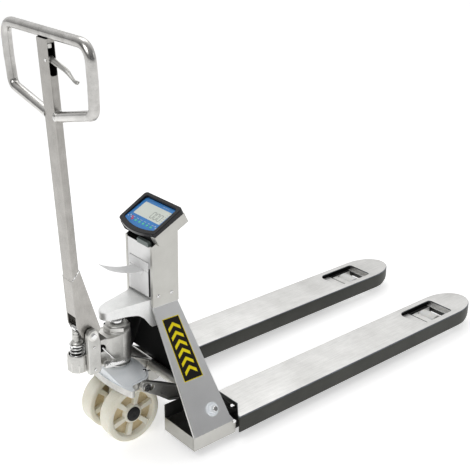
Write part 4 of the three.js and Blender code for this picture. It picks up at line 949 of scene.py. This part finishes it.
CHEVRONS = 6
for side, s in SIDES:
    on = on_plate(s)
    y0 = up_plate(123.4)
    washer = lathe(f"bolt_washer_{side}", [(0, 0.5), (20.0, 0.5), (21.0, 1.3), (21.0, 3.2), (20.2, 3.9),
        (0, 3.9)], "z", (88.6, y0), 72, on)
    piece(washer, "chassis", "pale", f"side_bolt_{side}")
    nut = prism(f"bolt_head_{side}", circle(88.6, y0, 15.0, 6, 12.0), "xy", 3.9, 15.6, on)
    piece(bevel(nut, 1.4, 3), "chassis", "pale")
    stud = lathe(f"bolt_stud_{side}", [(0, 15.0), (8.0, 15.0), (8.0, 20.0), (6.8, 21.4), (0, 21.4)], "z",
        (88.6, y0), 40, on)
    piece(stud, "chassis", "bright")
    small = prism(f"small_bolt_{side}", circle(149.0, 72.0, 6.2, 6, 20.0), "xz",
        *sorted((s * 268.2, s * 272.6)))
    piece(bevel(small, 0.8, 2), "chassis", "bright")
    # label: a dark plate with a bright border and a generic mark of bars
    quad = [(26.0, up_plate(376.0)), (85.0, up_plate(375.0)), (98.5, up_plate(210.0)),
        (30.5, up_plate(211.0))]
    foot, head = (quad[3][0] + quad[2][0]) / 2.0, (quad[0][0] + quad[1][0]) / 2.0
    border = prism(f"label_border_{side}", fillet([(*p, 1.2) for p in quad], 3), "xy", 0.25, 0.5, on)
    piece(border, "chassis", "yellow")
    inset = [(27.9, quad[0][1] - 2.2), (83.2, quad[1][1] - 2.2), (96.3, quad[2][1] + 2.2),
        (32.3, quad[3][1] + 2.2)]
    field = prism(f"label_field_{side}", fillet([(*p, 1.0) for p in inset], 3), "xy", 0.5, 0.62, on)
    piece(field, "chassis", "label")
    marks = []
    low, high = quad[3][1] + 16.0, quad[0][1] - 16.0
    for k in range(CHEVRONS):
        v = low + (high - low) * (k + 0.5) / CHEVRONS
        middle = foot + (head - foot) * (v - quad[3][1]) / (quad[0][1] - quad[3][1])
        wide, rise, thick = 21.0, 8.0, 11.0
        chevron = [(middle - wide, v - rise - thick / 2), (middle, v + rise - thick / 2),
            (middle + wide, v - rise - thick / 2), (middle + wide, v - rise + thick / 2),
            (middle, v + rise + thick / 2), (middle - wide, v - rise + thick / 2)]
        marks.append(prism("mark", chevron, "xy", 0.62, 0.74, on))
    piece(merged(f"label_mark_{side}", *marks), "chassis", "yellow")
    # rolled rear edge of the plate
    roll = tube(f"plate_rear_edge_{side}", [(2.6 + 10.2 * k / 40.0,
        s * (PLATE_OUT - 2.6 - (PLATE_OUT - PLATE_IN) * k / 40.0),
        PLATE_LOW + (PLATE_HIGH - PLATE_LOW - 3.0) * k / 40.0) for k in range(41)], 2.9, 20)
    piece(roll, "chassis", "fork_top")
    # lip of the heel box
    heel = prism(f"heel_lip_{side}", fillet([(s * 262.0, 29.7, 1), (s * 262.0, 74.6, 2), (s * 124.2, 74.6, 2),
        (s * 124.2, 29.7, 1)], 4), "yz", -0.2, 4.6)
    piece(bevel(heel, 0.9, 3), "chassis", "satin")
    inner = prism(f"heel_inner_{side}", fillet([(-0.1, 29.7), (160, 29.7), (160, 71.0, 2), (-0.1, 71.0, 2)],
        4), "xz", *sorted((s * 123.6, s * 128.4)))
    piece(bevel(inner, 0.9, 3), "chassis", "satin")

# ------------------------------------------------------------------ column
for side, s in SIDES:
    for k, (x, z) in enumerate(((29.5, 445.0), (76.3, 444.0))):
        head = lathe(f"column_screw_{side}_{k}", [(r, s * h) for r,
            h in [(0.0, 64.5), (5.6, 64.5), (5.6, 66.4), (4.6, 67.8), (2.9, 68.5), (2.4, 68.5), (2.2, 67.2),
            (0.0, 67.2)]], "y", (x, z), 36)
        piece(head, "chassis", "bright")
lid = prism("lid_panel", fillet([(-46.3, 441.8, 2), (46.3, 441.8, 2), (46.3, 518.6, 2), (-46.3, 518.6, 2)],
    4), "yz", 8.0, 11.0)
piece(bevel(lid, 0.9, 3), "printer_lid", "white", "printer_lid")
grip = prism("lid_grip", [(-24.0, 516.6), (-2.0, 516.6), (-13.0, 500.0)], "yz", 7.2, 8.3)
piece(bevel(grip, 0.4, 2), "printer_lid", "panel")
# Painted shade: a black strip beside the printer lid stands in for the shade in the gap.
gap_shade_strip = box("printer_side_gap_shade", 8.2, 10.3, -51.4, -48.9, 443.0, 531.0)
piece(bevel(gap_shade_strip, 0.3, 2), "chassis", "black")
strip = []
thick = 0.25
for k in range(41):
    t = k / 40.0
    strip.append((11.2 - 126.0 * t, 519.3 + 38.0 * t * t))
strip = [(12.4, 478.0), (12.4, 513.0), (12.0, 517.5)] + strip
upper = [(x + (thick if k < 3 else 0.0), z + (0.0 if k < 3 else thick)) for k, (x, z) in enumerate(strip)]
ribbon = prism("paper_ribbon", strip + upper[::-1], "xz", -28.5, 28.5)
piece(ribbon, "chassis", "paper", "paper")
turned("paper_core", [(6.2, -28.5), (23.6, -28.5), (23.9, -28.2), (23.9, 28.2), (23.6, 28.5), (6.2, 28.5)],
    "paper", "chassis", at=(36.0, 478.0), axis="y")

# ------------------------------------------------------------------ indicator
def bulged(x0, x1, half, bulge, radius, steps=24):
    """Plate outline whose operator's edge bows out."""
    edge = []
    for k in range(steps + 1):
        t = k / steps
        y = half - radius - 2.0 * (half - radius) * t
        edge.append((x0 - bulge * (1.0 - (y / (half - radius)) ** 2), y))
    rear = fillet([(x0 + 0.1, -half, radius), (x1, -half, radius), (x1, half, radius),
        (x0 + 0.1, half, radius)], 8)
    n = 9
    return rear[n:3 * n] + [rear[3 * n + k] for k in range(n)] + edge[1:-1] + rear[:n]


frame_out = bulged(0.0, 118.0, 88.0, 15.0, 12.0)
HOOD, INDICATOR_LENGTH = 6.0, 119.0
count = len(frame_out)
frame_body = raw("bezel_body", [(x, y, -13.0) for x, y in frame_out] + [(x, y,
    -0.2 + HOOD * max(0.0, x) / INDICATOR_LENGTH) for x, y in frame_out],
    [list(range(count))[::-1], list(range(count, 2 * count))] + [[k, (k + 1) % count, count + (k + 1) % count,
    count + k] for k in range(count)], tilted)
window_out = bulged(12.5, 106.0, 73.5, 12.0, 7.0)
recess = prism("recess", window_out, "xy", -4.1, 30.0, tilted)
cut(frame_body, recess)
bevel(frame_body, 3.4, 5, 40.0)
piece(frame_body, "chassis", "bezel", "indicator_bezel")
film_out = bulged(13.6, 105.0, 72.6, 11.4, 6.4)
film = prism("key_film_sheet", film_out, "xy", -4.0, -2.7, tilted)
holes = [prism("hole", fillet([(39, -66, 3), (91, -66, 3), (91, 60, 3), (39, 60, 3)], 5), "xy", -6, 0,
    tilted)]
KEY_X = 20.0
KEYS = (("power", 41.0), ("zero", 23.0), ("tare", 5.0), ("unit", -13.0), ("print", -31.0), ("total", -49.0))
for name, y in KEYS:
    holes.append(rod("hole", 5.0, -6, 0, "z", (KEY_X, y), 32, tilted))
cut(film, *holes)
piece(film, "chassis", "film", "key_film")
glass = prism("display_glass", fillet([(39.2, -65.8, 3), (90.8, -65.8, 3), (90.8, 59.8, 3), (39.2, 59.8, 3)],
    5), "xy", -4.0, -2.8, tilted)
piece(glass, "chassis", "lcd", "display_window")
for name, y in KEYS:
    cap = lathe(f"key_cap_{name}", [(0, -3.3), (4.5, -3.3), (4.6, -2.9), (4.2, -2.3), (2.6, -2.1),
        (0, -2.05)], "z", (KEY_X, y), 36, tilted)
    piece(cap, f"key_{name}", "red" if name == "power" else "green", f"key_{name}")

GLASS_TOP = (-2.8, -2.68)  # segments lie on the glass
INK = (-2.7, -2.6)  # print lies on the film
DIGIT_H, DIGIT_W, DIGIT_X, STROKE = 24.0, 11.0, 47.0, 1.1
bars = []
for index in range(3):  # three noughts, each of six strokes
    right = -8.0 - 16.0 * index
    for x in (DIGIT_X, DIGIT_X + DIGIT_H):
        bars.append(box("bar", x - STROKE, x + STROKE, right - DIGIT_W + 0.9, right - 0.9, *GLASS_TOP,
            tilted))
    for x in (DIGIT_X, DIGIT_X + DIGIT_H / 2):
        for y in (right, right - DIGIT_W):
            bars.append(box("bar", x + 0.9, x + DIGIT_H / 2 - 0.9, y - STROKE, y + STROKE, *GLASS_TOP,
                tilted))
for k in range(6):
    x = 86.0 - 8.0 * k
    bars.append(box("bar", x - 0.5, x + 0.5, -64.0, -57.0, *GLASS_TOP, tilted))
piece(merged("display_segments", *bars), "chassis", "digit")
prints = []
for k, y in enumerate((66.0, 58.0, 51.0, -60.0, -67.0)):
    prints.append(rod("dot", 2.2, *INK, "z", (24.0 + 5.0 * (k % 2), y), 20, tilted))
for name, y in KEYS:
    prints.append(box("bar", 27.4, 28.6, y - 4.4, y + 4.4, *INK, tilted))
prints.append(box("bar", 97.6, 98.4, -44.0, -14.0, *INK, tilted))
piece(merged("film_print", *prints), "chassis", "print")
mark = rod("film_mark", 3.6, *INK, "z", (27.0, 47.0), 28, tilted)
piece(mark, "chassis", "red")
bracket = prism("bezel_bracket", [(8.0, 598.5), (24.0, 598.5), (16.0, 616.0), (7.0, 613.0)], "xz", -50.0, 4.0)
piece(bevel(bracket, 0.8, 2), "chassis", "bracket")
# Painted shade: a black panel on the indicator housing's face stands in for the shade under the bezel.
housing_recess_shade = box("housing_recess_shade", 0.7, 1.3, -60.0, 84.0, -45.0, -13.6, tilted)
piece(bevel(housing_recess_shade, 0.2, 2), "chassis", "black")

# ------------------------------------------------------------------ CAD nodes that keep their shape
def plate_shade_face(x, y, z, normal):
    """The upright foot of a side plate is satin, the darker colour, and the underside of its slope is black, a
    painted shade.
    """
    if z < 76.0 and abs(normal.z) < 0.2:
        return 1
    return 2 if normal.z < -0.3 and z > 80.0 else 0


for side, _ in SIDES:
    side_plate = carry(f"side_plate_{side}", "plate", 1.4, 3)
    paint(side_plate, "plate", "satin", "black")
    finish_faces(side_plate, plate_shade_face)
    carry(f"lift_frame_{side}", "dark", 0.8)
    carry(f"load_cell_rear_{side}", "bright", 0.8)
    carry(f"load_cell_front_{side}", "bright", 0.8)
    carry(f"push_rod_{side}", "dark", 0.6)
    carry(f"roller_frame_{side}", "satin", 0.6)
    carry(f"roller_pivot_pin_{side}", "bright", 0.6)
    carry(f"load_roller_axle_{side}", "bright", 0.6)
    carry(f"link_pin_{side}", "bright", 0.8)
# Painted shade: the front wall is black, standing in for the shade inside the chassis.
carry("front_wall", "black", 0.5)
carry("column_shell", "satin", 1.0)
carry("operator_panel", "panel", 0.4)
carry("printer_body", "white", 0.6)
carry("indicator_housing", "satin", 1.0)
carry("wheel_yoke", "cast", 2.0)
carry("wheel_axle", "bright", 0.6)

# ------------------------------------------------------------------ floor, light and camera
floor_mat, nodes, links, bsdf = material("studio_floor")
coords = nodes.new("ShaderNodeTexCoord").outputs["Object"]
speck = noise(nodes, links, coords, (1, 1, 1), 3.0, 3.0)
links.new(mixed(nodes, links, speck, (0.86, 0.86, 0.86), (0.9, 0.9, 0.9)), bsdf.inputs["Base Color"])
bsdf.inputs["Roughness"].default_value = 0.85
bsdf.inputs["Emission Color"].default_value = (1.0, 1.0, 1.0, 1.0)
bsdf.inputs["Emission Strength"].default_value = 0.52
FLOOR = 40.0
floor_mesh = bpy.data.meshes.new("floor")
floor_mesh.from_pydata([(-FLOOR, -FLOOR, -0.0008), (FLOOR, -FLOOR, -0.0008), (FLOOR, FLOOR, -0.0008),
    (-FLOOR, FLOOR, -0.0008)], [], [[0, 1, 2, 3]])
floor_mesh.materials.append(floor_mat)
floor = bpy.data.objects.new("floor", floor_mesh)
bpy.context.scene.collection.objects.link(floor)

BACK_WALL = (0.62, 0.74, 0.26)  # the studio's bright wall stands this way from the truck
world = bpy.data.worlds.new("studio")
world.use_nodes = True
sky = world.node_tree
sky.nodes["Background"].inputs["Color"].default_value = (1.0, 1.0, 1.0, 1.0)
ray = sky.nodes.new("ShaderNodeTexCoord").outputs["Generated"]
parts = sky.nodes.new("ShaderNodeSeparateXYZ")
sky.links.new(ray, parts.inputs["Vector"])
overhead = remap(sky.nodes, sky.links, parts.outputs["Z"], 0.0, 0.9, 0.10, 0.42)
facing = sky.nodes.new("ShaderNodeVectorMath")
facing.operation = "DOT_PRODUCT"
facing.inputs[1].default_value = BACK_WALL
sky.links.new(ray, facing.inputs[0])
wall = remap(sky.nodes, sky.links, facing.outputs["Value"], 0.1, 0.75, 0.0, 0.62)
total = sky.nodes.new("ShaderNodeMath")
total.operation = "ADD"
sky.links.new(overhead, total.inputs[0])
sky.links.new(wall, total.inputs[1])
sky.links.new(total.outputs[0], sky.nodes["Background"].inputs["Strength"])
bpy.context.scene.world = world


def softbox(name, at, toward, size, power):
    data = bpy.data.lights.new(name, "AREA")
    data.shape = "RECTANGLE"
    data.size, data.size_y = size
    data.energy = power
    lamp = bpy.data.objects.new(name, data)
    lamp.location = at
    lamp.rotation_euler = (Vector(toward) - Vector(at)).to_track_quat("-Z", "Y").to_euler()
    bpy.context.scene.collection.objects.link(lamp)


softbox("key_light", (-2.6, -0.6, 2.6), (0.0, 0.0, 0.3), (1.8, 1.4), 25.0)
softbox("fill_light", (2.4, -2.4, 2.2), (0.0, 0.0, 0.3), (1.2, 1.2), 6.0)
softbox("top_light", (0.2, 1.2, 3.4), (0.0, 0.0, 0.2), (2.6, 1.6), 20.0)

CAMERA_AT = (-1365.69, -2017.89, 1652.25)
CAMERA_AZ, CAMERA_EL, CAMERA_ROLL = (math.radians(v) for v in (-40.78, 22.95, 0.77))
FOCAL_PIXELS, FRAME_PIXELS, SENSOR = 923.81, 470.0, 36.0
camera_data = bpy.data.cameras.new("camera")
camera_data.sensor_width = SENSOR
camera_data.lens = FOCAL_PIXELS / FRAME_PIXELS * SENSOR
camera = bpy.data.objects.new("camera", camera_data)
back = Vector((math.sin(CAMERA_AZ) * math.cos(CAMERA_EL), -math.cos(CAMERA_AZ) * math.cos(CAMERA_EL),
    math.sin(CAMERA_EL)))
level = (-back).cross(Vector((0, 0, 1))).normalized()
upright = level.cross(-back)
right = level * math.cos(CAMERA_ROLL) + upright * math.sin(CAMERA_ROLL)
up = upright * math.cos(CAMERA_ROLL) - level * math.sin(CAMERA_ROLL)
camera.matrix_world = Matrix.Translation(place(*CAMERA_AT)) @ Matrix((right, up, back)).transposed().to_4x4()
bpy.context.scene.collection.objects.link(camera)
bpy.context.scene.camera = camera
bpy.context.scene.view_settings.view_transform = "Standard"

bpy.context.view_layer.update()
